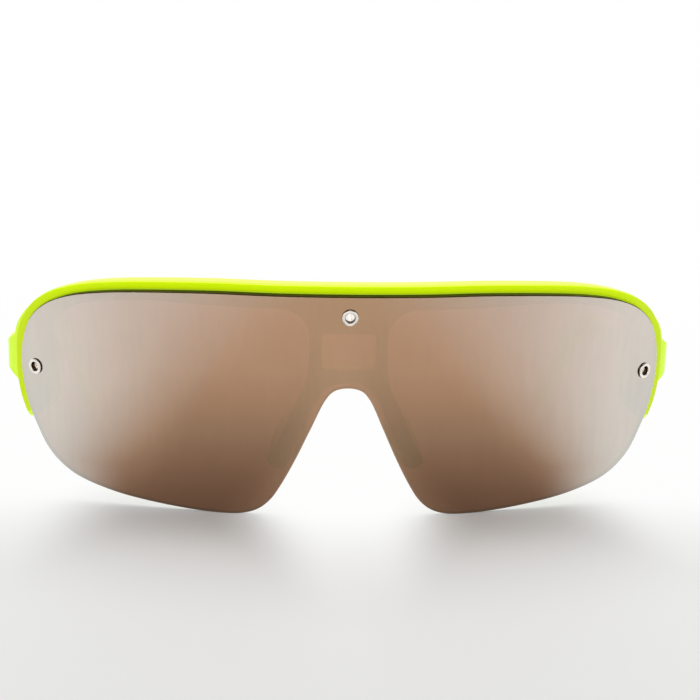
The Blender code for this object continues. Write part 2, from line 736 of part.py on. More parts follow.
def cut_hinge_seat(target, side_name, side, way):
    """Pocket for the leaf, round relief for the barrels and blind holes for the fixing screws."""
    tag = target.name + "_" + side_name
    inner = PIN_INSET - LEAF_PROUD - OVERRUN
    outer = PIN_INSET - LEAF_PROUD + LEAF_THICKNESS + POCKET_GAP
    far = way * (LEAF_LENGTH + POCKET_GAP)
    near = -way * OVERRUN
    half = STACK_HALF + POCKET_GAP
    pocket = box(PIVOT + Vector((inner, min(far, near), -half)),
                 PIVOT + Vector((outer, max(far, near), half)))
    shape_with(target, "DIFFERENCE", "pocket_" + tag, pocket, side)
    relief = rod(PIVOT + Vector((0, 0, -half - POCKET_GAP)),
                 PIVOT + Vector((0, 0, half + PIVOT_HEAD_HEIGHT + POCKET_GAP)),
                 BARREL_RADIUS + SEAT_GAP)
    shape_with(target, "DIFFERENCE", "relief_" + tag, relief, side)
    for level_name, spot in fixing_places(way):
        start = spot + Vector((inner, 0, 0))
        end = spot + Vector((PIN_INSET - LEAF_PROUD + FIXING_LENGTH + POCKET_GAP, 0, 0))
        shape_with(target, "DIFFERENCE", "blind_hole_" + level_name + "_" + tag,
                   rod(start, end, FIXING_RADIUS + METAL_GAP, SMALL_SIDES), side)


def build_pivot_screw(side_name, side):
    top = STACK_HALF + METAL_GAP
    crown = top + PIVOT_HEAD_HEIGHT
    profile = [(0, crown), (PIVOT_HEAD_RADIUS * 0.8, crown),
               (PIVOT_HEAD_RADIUS, crown - PIVOT_HEAD_HEIGHT / 3), (PIVOT_HEAD_RADIUS, top),
               (PIVOT_RADIUS, top), (PIVOT_RADIUS, -STACK_HALF), (0, -STACK_HALF)]
    screw = turned("hinge_screw_" + side_name, profile, STEEL)
    screw.location = (side * PIVOT.x, PIVOT.y, PIVOT.z)


def build_fixing_screws(prefix, side, way, axis_parent=None):
    """Small round-headed screws through a leaf's plate into the plastic."""
    plate = PIN_INSET - LEAF_PROUD
    head = -METAL_GAP - FIXING_HEAD_HEIGHT
    profile = [(0, head), (FIXING_HEAD_RADIUS * 0.7, head),
               (FIXING_HEAD_RADIUS, head + FIXING_HEAD_HEIGHT / 2),
               (FIXING_HEAD_RADIUS, -METAL_GAP), (FIXING_RADIUS, -METAL_GAP),
               (FIXING_RADIUS, FIXING_LENGTH), (0, FIXING_LENGTH)]
    profile = [(radius, -height) for radius, height in profile]
    for level_name, spot in fixing_places(way):
        screw = turned(prefix + "_" + level_name, profile, STEEL, SMALL_SIDES)
        spot = spot + Vector((plate, 0, 0))
        location = Vector((side * spot.x, spot.y, spot.z))
        if axis_parent:
            screw.parent = axis_parent
            location -= axis_parent.location
        screw.location = location
        screw.rotation_euler = (0, -side * math.pi / 2, 0)


# Temples

def temple_path(floor):
    """Stations along the temple: distance along, place back and up, pitch down and size share."""
    stations = []
    back = BUTT_FACE + BUTT_GAP
    height = HINGE_HEIGHT
    for share in (0, 0.05, 0.15, 0.32, 0.54, 0.78):
        along = TEMPLE_STRAIGHT * share
        stations.append((along, back + along, height - along * math.tan(TEMPLE_PITCH),
                         TEMPLE_PITCH))
    start_back = back + TEMPLE_STRAIGHT
    start_up = height - TEMPLE_STRAIGHT * math.tan(TEMPLE_PITCH)
    bend_steps = 7
    for step in range(bend_steps + 1):
        pitch = TEMPLE_PITCH + EAR_BEND * step / bend_steps
        stations.append((
            TEMPLE_STRAIGHT + EAR_RADIUS * (pitch - TEMPLE_PITCH),
            start_back + EAR_RADIUS * (math.sin(pitch) - math.sin(TEMPLE_PITCH)),
            start_up - EAR_RADIUS * (math.cos(TEMPLE_PITCH) - math.cos(pitch)), pitch))
    along, back, height, pitch = stations[-1]
    lowest = TEMPLE_TIP_HEIGHT / 2 * math.cos(pitch)
    reach = (height - floor - lowest) / math.sin(pitch)
    straight = reach - TEMPLE_TIP_ROUND * TIP_SINK_share
    for share in (0.5, 1):
        stations.append((along + straight * share, back + straight * share * math.cos(pitch),
                         height - straight * share * math.sin(pitch), pitch))
    return stations


def mix(low, high, share):
    share = min(max(share, 0), 1)
    return low + (high - low) * share * share * (3 - 2 * share)


def temple_section(along, back, height, pitch, full_length, size_share=1):
    """One rounded section of the temple, as world points on the +X side."""
    ear = TEMPLE_STRAIGHT
    tall = mix(TEMPLE_HEIGHT, TEMPLE_WAIST_HEIGHT, along / ear)
    tall = mix(tall, TEMPLE_TIP_HEIGHT, (along - ear) / (full_length - ear))
    thick = mix(FRAME_DEPTH, TEMPLE_THICKNESS, along / ear)
    straightness = mix(0, 1, along / TEMPLE_HEIGHT)
    plane_pitch = pitch * straightness
    middle_x = LUG_OUTER - FRAME_DEPTH / 2 - along * along / (2 * TEMPLE_PLAN_RADIUS)
    yaw = along / TEMPLE_PLAN_RADIUS
    half_tall = tall / 2 * size_share
    half_thick = thick / 2 * size_share
    edge = min(mix(FRAME_RIM, TEMPLE_EDGE, along / TEMPLE_HEIGHT), half_thick * 0.8)
    lean = mix(1, 0, along / (ear / 2))
    ring = []
    for point in rounded_box(Vector((-half_thick, -half_tall)), Vector((half_thick, half_tall)),
                             edge):
        outward = (point.x / half_thick + 1) / 2
        across = point.x + lean_offset(point.y, lean * outward)
        ring.append(Vector((middle_x + across * math.cos(yaw),
                            back + across * math.sin(yaw) + point.y * math.sin(plane_pitch),
                            height + point.y * math.cos(plane_pitch))))
    return ring


def temple_solid(floor):
    """Loft through the stations, closed at the joint and rounded off at the tip."""
    stations = temple_path(floor)
    full_length = stations[-1][0]
    rings = [temple_section(*station, full_length) for station in stations]
    along, back, height, pitch = stations[-1]
    for turn in (0.3, 0.6, 0.85):
        forth = TEMPLE_TIP_ROUND * math.sin(turn * math.pi / 2)
        shrink = math.cos(turn * math.pi / 2)
        rings.append(temple_section(along + forth, back + forth * math.cos(pitch),
                                    height - forth * math.sin(pitch), pitch, full_length, shrink))
    solid = bmesh.new()
    rings = [[solid.verts.new(point) for point in ring] for ring in rings]
    for near, far in zip(rings, rings[1:]):
        for i in range(len(near)):
            j = (i + 1) % len(near)
            solid.faces.new((near[i], near[j], far[j], far[i]))
    solid.faces.new(reversed(rings[0]))
    solid.faces.new(rings[-1])
    bmesh.ops.recalc_face_normals(solid, faces=solid.faces)
    cut = bmesh.ops.bisect_plane(solid, geom=solid.verts[:] + solid.edges[:] + solid.faces[:],
                                 plane_co=(0, 0, floor), plane_no=(0, 0, -1), clear_outer=True)
    rim = [part for part in cut["geom_cut"] if isinstance(part, bmesh.types.BMEdge)]
    bmesh.ops.contextual_create(solid, geom=rim)
    bmesh.ops.recalc_face_normals(solid, faces=solid.faces)
    return solid


def build_temple(side_name, side, floor):
    axis = bpy.data.objects.new("fold_axis_" + side_name, None)
    PARTS.objects.link(axis)
    axis.location = (side * PIVOT.x, PIVOT.y, PIVOT.z)
    temple = add_object("temple_" + side_name, temple_solid(floor), NEON, PARTS, side, axis)
    cut_hinge_seat(temple, side_name, side, 1)
    build_leaf("hinge_temple_leaf_" + side_name, side, 1, axis)
    build_fixing_screws("temple_leaf_screw_" + side_name, side, 1, axis)
    return temple


# Standing

def world_points(objects):
    graph = bpy.context.evaluated_depsgraph_get()
    for made in objects:
        evaluated = made.evaluated_get(graph)
        mesh = evaluated.to_mesh()
        for vert in mesh.vertices:
            yield evaluated.matrix_world @ vert.co
        evaluated.to_mesh_clear()


def stand_on_origin(floor):
    """Move everything so that the glasses stand on Z = 0 with their box's middle over the origin."""
    bpy.context.view_layer.update()
    backs = [point.y for point in world_points([o for o in PARTS.objects if o.type == "MESH"])]
    shift = Vector((0, -(min(backs) + max(backs)) / 2, -floor))
    for made in list(PARTS.objects) + list(CUTTERS.objects):
        if not made.parent:
            made.location += shift


clear_scene()
PARTS = new_collection("wraparound_sunglasses")
CUTTERS = new_collection("cutters")

shield = build_lens()
bpy.context.view_layer.update()
FLOOR = min(point.z for point in world_points([shield]))
build_frame()
for place_name, place_u, place_v in eyelet_places():
    add_eyelet(place_name, place_u, place_v)
for name_of_side, sign_of_side in SIDES:
    build_nose_pad(name_of_side, sign_of_side)
    build_leaf("hinge_front_leaf_" + name_of_side, sign_of_side, -1)
    build_fixing_screws("front_leaf_screw_" + name_of_side, sign_of_side, -1)
    build_pivot_screw(name_of_side, sign_of_side)
    build_temple(name_of_side, sign_of_side, FLOOR)
stand_on_origin(FLOOR)
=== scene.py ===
"""Wraparound sunglasses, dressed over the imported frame. Metres, +Z up, wearer's left is +X."""

import json
import math

import bmesh
import bpy
from mathutils import Matrix, Vector
from mathutils.bvhtree import BVHTree


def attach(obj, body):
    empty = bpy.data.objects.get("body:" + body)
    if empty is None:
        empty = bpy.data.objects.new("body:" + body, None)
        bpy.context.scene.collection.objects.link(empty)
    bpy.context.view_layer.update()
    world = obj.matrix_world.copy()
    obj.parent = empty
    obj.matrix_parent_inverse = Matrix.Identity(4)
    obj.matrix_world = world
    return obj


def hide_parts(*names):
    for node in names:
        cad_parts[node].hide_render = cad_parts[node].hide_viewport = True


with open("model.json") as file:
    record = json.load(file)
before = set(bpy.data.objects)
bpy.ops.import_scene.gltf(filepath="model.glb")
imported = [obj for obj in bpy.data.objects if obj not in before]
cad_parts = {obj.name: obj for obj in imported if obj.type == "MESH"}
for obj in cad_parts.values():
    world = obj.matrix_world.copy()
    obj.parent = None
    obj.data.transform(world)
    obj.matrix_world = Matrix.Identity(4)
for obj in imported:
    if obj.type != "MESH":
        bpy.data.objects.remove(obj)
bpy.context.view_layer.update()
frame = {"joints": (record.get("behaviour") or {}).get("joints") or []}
MM = 0.001


# Studio
# A pale floor that runs off to white behind the glasses, and further forwards past their ends and
# under the nose: a painted pool of light there. A broad lamp behind and above throws their soft
# shadow forwards, and a weak one in front fills the face of the plastic.

FLOOR_SIZE = 6.0
FLOOR_DROP = 0.05 * MM
FLOOR_COLOUR = (0.90, 0.90, 0.895, 1)
WHITE = (1, 1, 1, 1)
WHITE_FROM = -0.089
WHITE_TO = 0.0
WHITE_NEAR = 0.92
WHITE_FAR = 0.5
WHITE_AHEAD_FROM = -0.35
WHITE_AHEAD_TO = -1.2
NOSE_PAINTED_LIGHT = {"forward": 0.067, "full": 0.004, "gone": 0.030}
SIDE_PAINTED_LIGHT = {"forward": 0.045, "gone": 0.044, "full": 0.070}
SKY_LEVEL = 0.36
SKY_ZENITH = 0.04
SKY_FADE_FROM = 0.40
SKY_FADE_TO = 0.75
BACK_LAMP = {"place": (0.02, 0.226, 0.697), "size": 1.05, "watts": 4.8}
FRONT_LAMP = {"place": (-0.25, -1.1, 1.0), "size": 1.2, "watts": 1.5}

CAMERA_TARGET = Vector((0.0006, -0.0686, 0.0360))
CAMERA_TURN = math.radians(-3.355)
CAMERA_RISE = math.radians(8)
CAMERA_ROLL = math.radians(0.903)
CAMERA_DISTANCE = 0.450
CAMERA_LENS = 109.2
CAMERA_SENSOR = 36
CAMERA_NEAR = 0.01


def add_node(tree, kind, values=None, **settings):
    """Add a shader node, and set or link the inputs that are named or numbered in values."""
    made = tree.nodes.new("ShaderNode" + kind)
    for name, value in settings.items():
        setattr(made, name, value)
    for name, value in (values or {}).items():
        if isinstance(value, bpy.types.NodeSocket):
            tree.links.new(value, made.inputs[name])
        else:
            made.inputs[name].default_value = value
    return made


def maths(tree, operation, *values):
    return add_node(tree, "Math", dict(enumerate(values)), operation=operation).outputs[0]


def fit_range(tree, value, start, end, low=0, high=1, kind="LINEAR"):
    """Bring a value from one range into another, and stop at its ends."""
    return add_node(tree, "MapRange", {"Value": value, "From Min": start, "From Max": end,
                                       "To Min": low, "To Max": high},
                    interpolation_type=kind).outputs["Result"]


def split(tree, vector):
    return add_node(tree, "SeparateXYZ", {0: vector}).outputs


def new_tree(owner):
    owner.use_nodes = True
    owner.node_tree.nodes.clear()
    return owner.node_tree


def seen_in_view_or_mirror(tree):
    """1 for what the camera sees, straight or in metal and through glass, and 0 for stray light."""
    path = add_node(tree, "LightPath").outputs
    direct = maths(tree, "MAXIMUM", path["Is Camera Ray"], path["Is Glossy Ray"])
    return maths(tree, "MAXIMUM", direct, path["Is Transmission Ray"])


def add_object(name, data):
    made = bpy.data.objects.new(name, data)
    bpy.context.scene.collection.objects.link(made)
    return made


def build_world():
    world = bpy.data.worlds.new("studio")
    bpy.context.scene.world = world
    tree = new_tree(world)
    direction = add_node(tree, "TexCoord").outputs["Generated"]
    height = split(tree, direction)["Z"]
    seen = fit_range(tree, height, SKY_FADE_FROM, SKY_FADE_TO, 1, SKY_ZENITH)
    sky = add_node(tree, "Background", {"Color": WHITE, "Strength": SKY_LEVEL})
    white = add_node(tree, "Background", {"Color": WHITE, "Strength": seen})
    both = add_node(tree, "MixShader", {0: seen_in_view_or_mirror(tree),
                                        1: sky.outputs[0], 2: white.outputs[0]})
    add_node(tree, "OutputWorld", {"Surface": both.outputs[0]})


def floor_material():
    material = bpy.data.materials.new("studio_floor")
    tree = new_tree(material)
    parts = split(tree, add_node(tree, "NewGeometry").outputs["Position"])
    aside = maths(tree, "ABSOLUTE", parts["X"])
    back = parts["Y"]
    # The white share reaches further forwards in front of the nose and past the ends: painted
    # light, standing for the light from behind that passes there.
    for glow in (NOSE_PAINTED_LIGHT, SIDE_PAINTED_LIGHT):
        reach = fit_range(tree, aside, glow["gone"], glow["full"], 0, glow["forward"], "SMOOTHSTEP")
        back = maths(tree, "ADD", back, reach)
    whitest = fit_range(tree, parts["Y"], 0, WHITE_FAR, WHITE_NEAR, 1)
    behind = fit_range(tree, back, WHITE_FROM, WHITE_TO, 0, whitest, "SMOOTHSTEP")
    ahead = fit_range(tree, parts["Y"], WHITE_AHEAD_FROM, WHITE_AHEAD_TO, 0, 1, "SMOOTHSTEP")
    share = maths(tree, "MULTIPLY", maths(tree, "MAXIMUM", behind, ahead),
                  seen_in_view_or_mirror(tree))
    paper = add_node(tree, "BsdfPrincipled", {"Base Color": FLOOR_COLOUR, "Roughness": 0.5})
    white = add_node(tree, "Emission", {"Color": WHITE, "Strength": 1.0})
    both = add_node(tree, "MixShader", {0: share, 1: paper.outputs[0], 2: white.outputs[0]})
    add_node(tree, "OutputMaterial", {"Surface": both.outputs[0]})
    return material


def build_floor():
    half = FLOOR_SIZE / 2
    mesh = bpy.data.meshes.new("studio_floor")
    corners = [(x * half, y * half, -FLOOR_DROP) for x, y in ((-1, -1), (1, -1), (1, 1), (-1, 1))]
    mesh.from_pydata(corners, [], [(0, 1, 2, 3)])
    mesh.materials.append(floor_material())
    add_object("studio_floor", mesh)


def add_lamp(name, lamp):
    light = bpy.data.lights.new(name, "AREA")
    light.shape = "DISK"
    light.size = lamp["size"]
    light.energy = lamp["watts"]
    made = add_object(name, light)
    made.location = lamp["place"]
    made.rotation_mode = "QUATERNION"
    made.rotation_quaternion = (-made.location).to_track_quat("-Z", "Y")
    made.visible_camera = False


def build_camera():
    """A long lens, a little above the glasses and a little to one side, held nearly level."""
    turn = (Matrix.Rotation(CAMERA_TURN, 4, "Z")
            @ Matrix.Rotation(math.pi / 2 - CAMERA_RISE, 4, "X")
            @ Matrix.Rotation(CAMERA_ROLL, 4, "Z"))
    away = turn.col[2].xyz
    camera = bpy.data.cameras.new("camera")
    camera.sensor_width = CAMERA_SENSOR
    camera.lens = CAMERA_LENS
    camera.clip_start = CAMERA_NEAR
    made = add_object("camera", camera)
    made.matrix_world = Matrix.Translation(CAMERA_TARGET + away * CAMERA_DISTANCE) @ turn
    bpy.context.scene.camera = made


bpy.context.scene.view_settings.view_transform = "Standard"
build_world()
build_floor()
add_lamp("back_lamp", BACK_LAMP)
add_lamp("front_lamp", FRONT_LAMP)
build_camera()


# Lens
# One wide polycarbonate lens, moulded in a curve round the face and given a bronze mirror coat.
# It is drawn flat, with u across, v up and d the depth behind its face, and then bent and tilted.

FRONT_RADIUS = 108 * MM
FRONT_TILT = math.radians(12)
CORNER_SETBACK = 4.8 * MM
CORNER_RADIUS = 6.0 * MM
OUTER_LEAN = math.radians(7)
LENS_HALF_WIDTH = 76.85 * MM
LENS_HEIGHT = 50.3 * MM
LENS_THICKNESS = 2.0 * MM
LENS_RIM = 0.3 * MM
LENS_EDGE_shares = (
    (0.0, 1.0), (0.196, 0.996), (0.392, 0.985), (0.588, 0.954), (0.719, 0.920),
    (0.824, 0.876), (0.902, 0.818), (0.958, 0.742), (0.988, 0.650), (1.0, 0.540),
    (0.995, 0.440), (0.978, 0.344), (0.965, 0.298), (0.946, 0.248), (0.908, 0.160),
    (0.865, 0.104), (0.804, 0.059), (0.686, 0.024), (0.523, 0.006), (0.364, 0.0),
    (0.287, 0.009), (0.243, 0.034), (0.209, 0.080), (0.180, 0.150), (0.141, 0.269),
    (0.101, 0.408), (0.060, 0.546), (0.037, 0.584), (0.0, 0.597))

FRAME_DEPTH = 2.8 * MM
SEAT_GAP = 0.3 * MM
METAL_GAP = 0.1 * MM
POCKET_GAP = 0.15 * MM
HINGE_HEIGHT = 31.7 * MM
LUG_REACH = 7 * MM
BUTT_GAP = 0.3 * MM
PIN_INSET = 1.1 * MM

EYELET_MARGIN_TOP = 4.5 * MM
EYELET_MARGIN_SIDE = 4.4 * MM
EYELET_SIDE_UP_share = 0.516
EYELET_TUBE_RADIUS = 1.25 * MM

# The coat's colour carries painted reflection over its own tint: its shift off the middle, the
# bronze's darkening lower down and the silver at the ends stand for the shadowed floor in front and
# the bright surroundings.
PAINTED_REFLECTION_SHIFT = -1.9 * MM
LENS_TOP = 49 * MM
BRONZE_LOW = {"up": 9.3 * MM, "out": 43.6 * MM}
BRONZE_HIGH = {"up": 47.1 * MM, "out": 0.2 * MM}
SILVER_OUT = 65.4 * MM
SILVER_LOW = (0.72, 0.725, 0.67, 1)
SILVER_HIGH = (0.90, 0.82, 0.75, 1)
BRONZE_shares = ((0.0, (0.283, 0.171, 0.105)), (0.327, (0.443, 0.287, 0.177)),
                 (0.653, (0.617, 0.394, 0.242)), (1.0, (0.694, 0.428, 0.262)))

SMUDGE_SCALE = 70
SPECK_SCALE = 2600
SMUDGE_LOW = 0.12
SMUDGE_HIGH = 0.42
STREAK_STRETCH = (1, 1, 0.06)
STREAK_SCALE = 700
CLOUD_SCALE = 55
ORIGIN = (0, 0, 0)
BACK_TONES = ((0.068, 0.0110, 0.0036, 1), (0.086, 0.0145, 0.0052, 1))
# The cut edge's near-black brown is painted shade: the amber edge as it looks in the shade under
# the brow bar.
EDGE_SHADE_TONES = ((0.016, 0.011, 0.002, 1), (0.055, 0.032, 0.006, 1))

CURVE_STEPS = 8
HOLE_SIDES = 40
SHEET_SLICE = 1.6 * MM
RIM_SEGMENTS = 4
WELD = MM / 10000
OUTLINE_WELD = MM / 1000
OUTLINE_FLAT = math.radians(0.05)
SHARP = math.radians(35)
COAT_FACING = -0.3
COAT_FACING_TOP = -0.93
TOP_FACING = 0.3
BACK_FACING = 0.85

FRAME_FRONT = LENS_THICKNESS + SEAT_GAP
FRAME_BACK = FRAME_FRONT + FRAME_DEPTH
CORNER_START = LENS_HALF_WIDTH + CORNER_SETBACK
CORNER_HEADING = CORNER_START / FRONT_RADIUS
CORNER_LENGTH = CORNER_RADIUS * (math.pi / 2 - CORNER_HEADING)
CORNER_END = CORNER_START + CORNER_LENGTH
COS_TILT = math.cos(FRONT_TILT)
SIN_TILT = math.sin(FRONT_TILT)
SIDES = (("left", 1), ("right", -1))


def front_plan(u):
    """Plan position and heading of the lens's face at u, before the tilt."""
    distance = abs(u)
    if distance <= CORNER_START:
        heading = distance / FRONT_RADIUS
        across = FRONT_RADIUS * math.sin(heading)
        back = FRONT_RADIUS * (1 - math.cos(heading))
    else:
        heading = CORNER_HEADING + min(distance - CORNER_START, CORNER_LENGTH) / CORNER_RADIUS
        across = (FRONT_RADIUS - CORNER_RADIUS) * math.sin(CORNER_HEADING)
        across += CORNER_RADIUS * math.sin(heading)
        back = FRONT_RADIUS - (FRONT_RADIUS - CORNER_RADIUS) * math.cos(CORNER_HEADING)
        back += max(distance - CORNER_END, 0) - CORNER_RADIUS * math.cos(heading)
    return math.copysign(across, u), back, math.copysign(heading, u)


def tilt(across, back, up):
    return Vector((across, COS_TILT * back - SIN_TILT * up, SIN_TILT * back + COS_TILT * up))


def clamp(value):
    return min(max(value, 0), 1)


def back_at(u):
    return front_plan(u)[1]


LUG_MIDDLE_V = (HINGE_HEIGHT - SIN_TILT * back_at(CORNER_END)) / COS_TILT
BUTT_FACE = COS_TILT * (back_at(CORNER_END) + LUG_REACH) - SIN_TILT * LUG_MIDDLE_V
LUG_OUTER = front_plan(CORNER_END)[0] - FRAME_FRONT
PIVOT = Vector((LUG_OUTER - FRAME_DEPTH - PIN_INSET, BUTT_FACE + BUTT_GAP / 2, HINGE_HEIGHT))
LEFT_FOLD = next(joint for joint in frame["joints"] if joint["name"] == "temple_left_fold")
STAND = Vector(LEFT_FOLD["pos_m"]) - PIVOT


def place(u, v, d):
    """Where a point of the flat drawing lies once it is bent, tilted and leant out at the sides."""
    across, back, heading = front_plan(u)
    point = tilt(across - math.sin(heading) * d, back + math.cos(heading) * d, v)
    turned = clamp((abs(u) - LENS_HALF_WIDTH) / (CORNER_END - LENS_HALF_WIDTH))
    outward = clamp((FRAME_BACK - d) / FRAME_DEPTH)
    lean = (point.z - HINGE_HEIGHT) * math.tan(OUTER_LEAN)
    point.x += math.copysign(lean * turned * outward, u)
    return point


def smooth(points, starts_on_middle=False, ends_on_middle=False):
    """Centripetal curve through the points; an end on the middle plane runs square to it."""
    points = [Vector(point) for point in points]
    first = 2 * points[0] - points[1]
    last = 2 * points[-1] - points[-2]
    if starts_on_middle:
        first = Vector((-points[1].x, points[1].y))
    if ends_on_middle:
        last = Vector((-points[-2].x, points[-2].y))
    run = [first] + points + [last]
    result = []
    for a, b, c, e in zip(run, run[1:], run[2:], run[3:]):
        t1 = math.sqrt((b - a).length)
        t2 = t1 + math.sqrt((c - b).length)
        t3 = t2 + math.sqrt((e - c).length)
        for step in range(CURVE_STEPS):
            t = t1 + (t2 - t1) * step / CURVE_STEPS
            ab = a.lerp(b, t / t1)
            bc = b.lerp(c, (t - t1) / (t2 - t1))
            ce = c.lerp(e, (t - t2) / (t3 - t2))
            result.append(ab.lerp(bc, t / t2).lerp(bc.lerp(ce, (t - t1) / (t3 - t1)),
                                                    (t - t1) / (t2 - t1)))
    result.append(points[-1])
    return result


def arc(centre, radius, start, end, steps):
    turn = (end - start) / steps
    return [centre + radius * Vector((math.cos(start + turn * i), math.sin(start + turn * i)))
            for i in range(steps + 1)]


def mirrored(half):
    """Close a half outline that starts and ends on the middle plane."""
    return half + [Vector((-point.x, point.y)) for point in reversed(half[1:-1])]


LENS_KNOTS = [Vector((LENS_HALF_WIDTH * out, LENS_HEIGHT * up)) for out, up in LENS_EDGE_shares]


def eyelet_places():
    side_out = LENS_HALF_WIDTH - EYELET_MARGIN_SIDE
    side_up = LENS_HEIGHT * EYELET_SIDE_UP_share
    return (("centre", Vector((0, LENS_HEIGHT - EYELET_MARGIN_TOP))),
            ("left", Vector((side_out, side_up))),
            ("right", Vector((-side_out, side_up))))


def eyelet_holes():
    radius = EYELET_TUBE_RADIUS + POCKET_GAP
    return [arc(spot, radius, 0, 2 * math.pi, HOLE_SIDES)[:-1] for _, spot in eyelet_places()]


def turn_outward(solid):
    bmesh.ops.recalc_face_normals(solid, faces=solid.faces)


def flat_solid(loops, near, far):
    """A flat outline with its holes, from depth near to depth far, as a bmesh in (u, d, v)."""
    curve = bpy.data.curves.new("outline", "CURVE")
    curve.dimensions = "2D"
    curve.fill_mode = "BOTH"
    curve.extrude = (far - near) / 2
    for loop in loops:
        spline = curve.splines.new("POLY")
        spline.points.add(len(loop) - 1)
        for knot, point in zip(spline.points, loop):
            knot.co = (point.x, point.y, 0, 1)
        spline.use_cyclic_u = True
    drawn = add_object("outline", curve)
    evaluated = drawn.evaluated_get(bpy.context.evaluated_depsgraph_get())
    mesh = bpy.data.meshes.new_from_object(evaluated)
    solid = bmesh.new()
    solid.from_mesh(mesh)
    bpy.data.objects.remove(drawn, do_unlink=True)
    bpy.data.curves.remove(curve)
    bpy.data.meshes.remove(mesh)
    bmesh.ops.remove_doubles(solid, verts=solid.verts, dist=OUTLINE_WELD)
    bmesh.ops.dissolve_limit(solid, angle_limit=OUTLINE_FLAT, verts=solid.verts,
                             edges=solid.edges)
    middle = (near + far) / 2
    for vert in solid.verts:
        vert.co = Vector((vert.co.x, middle - vert.co.z, vert.co.y))
    turn_outward(solid)
    return solid


def round_rims(solid, width, segments, skip=None):
    """Round the edges between the flat faces and the walls of a flat solid."""
    rims = []
    for edge in solid.edges:
        flats = [abs(face.normal.y) > 0.5 for face in edge.link_faces]
        if flats.count(True) == 1 and not (skip and skip(edge)):
            rims.append(edge)
    bmesh.ops.bevel(solid, geom=rims, offset=width, segments=segments, profile=0.5,
                    affect="EDGES", clamp_overlap=False)


def bend(solid, reach, extra=()):
    """Cut a flat solid into narrow strips and bend it to the front's curve."""
    count = int(reach / SHEET_SLICE)
    cuts = [SHEET_SLICE * (i + 0.5) for i in range(count)] + list(extra)
    for u in cuts:
        for signed in (u, -u):
            bmesh.ops.bisect_plane(solid, geom=solid.verts[:] + solid.edges[:] + solid.faces[:],
                                   plane_co=(signed, 0, 0), plane_no=(1, 0, 0), dist=WELD)
    for vert in solid.verts:
        vert.co = place(vert.co.x, vert.co.z, vert.co.y)
    bmesh.ops.triangulate(solid, faces=[face for face in solid.faces if len(face.verts) > 4])


def as_mesh(name, solid):
    mesh = bpy.data.meshes.new(name)
    solid.to_mesh(mesh)
    solid.free()
    return mesh


def flipped(solid):
    """The same solid on the wearer's other side."""
    for vert in solid.verts:
        vert.co.x = -vert.co.x
    bmesh.ops.reverse_faces(solid, faces=solid.faces)
    return solid


def add_piece(name, solid, materials, body, node, side=1):
    """Stand a solid of the drawing on the floor as a piece that takes the place of its node."""
    bmesh.ops.translate(solid, verts=solid.verts, vec=STAND)
    mesh = as_mesh(name, solid if side > 0 else flipped(solid))
    for material in materials:
        mesh.materials.append(material)
    made = add_object(name, mesh)
    settle_normals(made)
    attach(made, body)
    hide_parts(node)
    return made


def settle_normals(made):
    """Smooth shading that leaves broad faces true next to small rounded edges."""
    made.data.shade_smooth()
    made.data.set_sharp_from_angle(angle=SHARP)
    weighted = made.modifiers.new("true_faces", "WEIGHTED_NORMAL")
    weighted.weight = 100
    weighted.keep_sharp = True


def new_material(name):
    """A material with an empty node tree, the tree, and the object's own coordinates in it."""
    material = bpy.data.materials.new(name)
    tree = new_tree(material)
    return material, tree, add_node(tree, "TexCoord").outputs["Object"]


def finish_material(material, values):
    shader = add_node(material.node_tree, "BsdfPrincipled", values)
    add_node(material.node_tree, "OutputMaterial", {"Surface": shader.outputs[0]})
    return material


def new_group(name, inputs):
    """A shader node group with named inputs, each a value, a vector or a colour by its default."""
    tree = bpy.data.node_groups.new(name, "ShaderNodeTree")
    for label, default in inputs.items():
        kind = "Float" if isinstance(default, float) else "Color" if default == WHITE else "Vector"
        socket = tree.interface.new_socket(label, in_out="INPUT", socket_type="NodeSocket" + kind)
        socket.default_value = default
    return tree, tree.nodes.new("NodeGroupInput").outputs


def finish_group(tree, results):
    """Give a group its outputs, a colour where it is named so and values otherwise."""
    for label in results:
        kind = "Color" if label == "Colour" else "Float"
        tree.interface.new_socket(label, in_out="OUTPUT", socket_type="NodeSocket" + kind)
    out = tree.nodes.new("NodeGroupOutput")
    for label, result in results.items():
        tree.links.new(result, out.inputs[label])
    return tree


def add_group(tree, group, values):
    return add_node(tree, "Group", values, node_tree=group).outputs


def noise(tree, vector, scale, detail, roughness=0.5):
    return add_node(tree, "TexNoise", {"Vector": vector, "Scale": scale, "Detail": detail,
                                       "Roughness": roughness}).outputs[0]


def build_smudge_group():
    """Faint uneven polish: broad smudges over fine specks, which change the gloss."""
    tree, given = new_group("smudges", {"Vector": ORIGIN, "Roughness": 0.1, "Spread": 0.05})
    both = maths(tree, "MULTIPLY", noise(tree, given["Vector"], SMUDGE_SCALE, 3),
                 noise(tree, given["Vector"], SPECK_SCALE, 2))
    mask = fit_range(tree, both, SMUDGE_LOW, SMUDGE_HIGH)
    change = maths(tree, "MULTIPLY_ADD", mask, given["Spread"], given["Roughness"])
    return finish_group(tree, {"Roughness": change})


def mix_colours(tree, share, first, second):
    made = add_node(tree, "Mix", {0: share, 6: first, 7: second}, data_type="RGBA")
    return made.outputs[2]


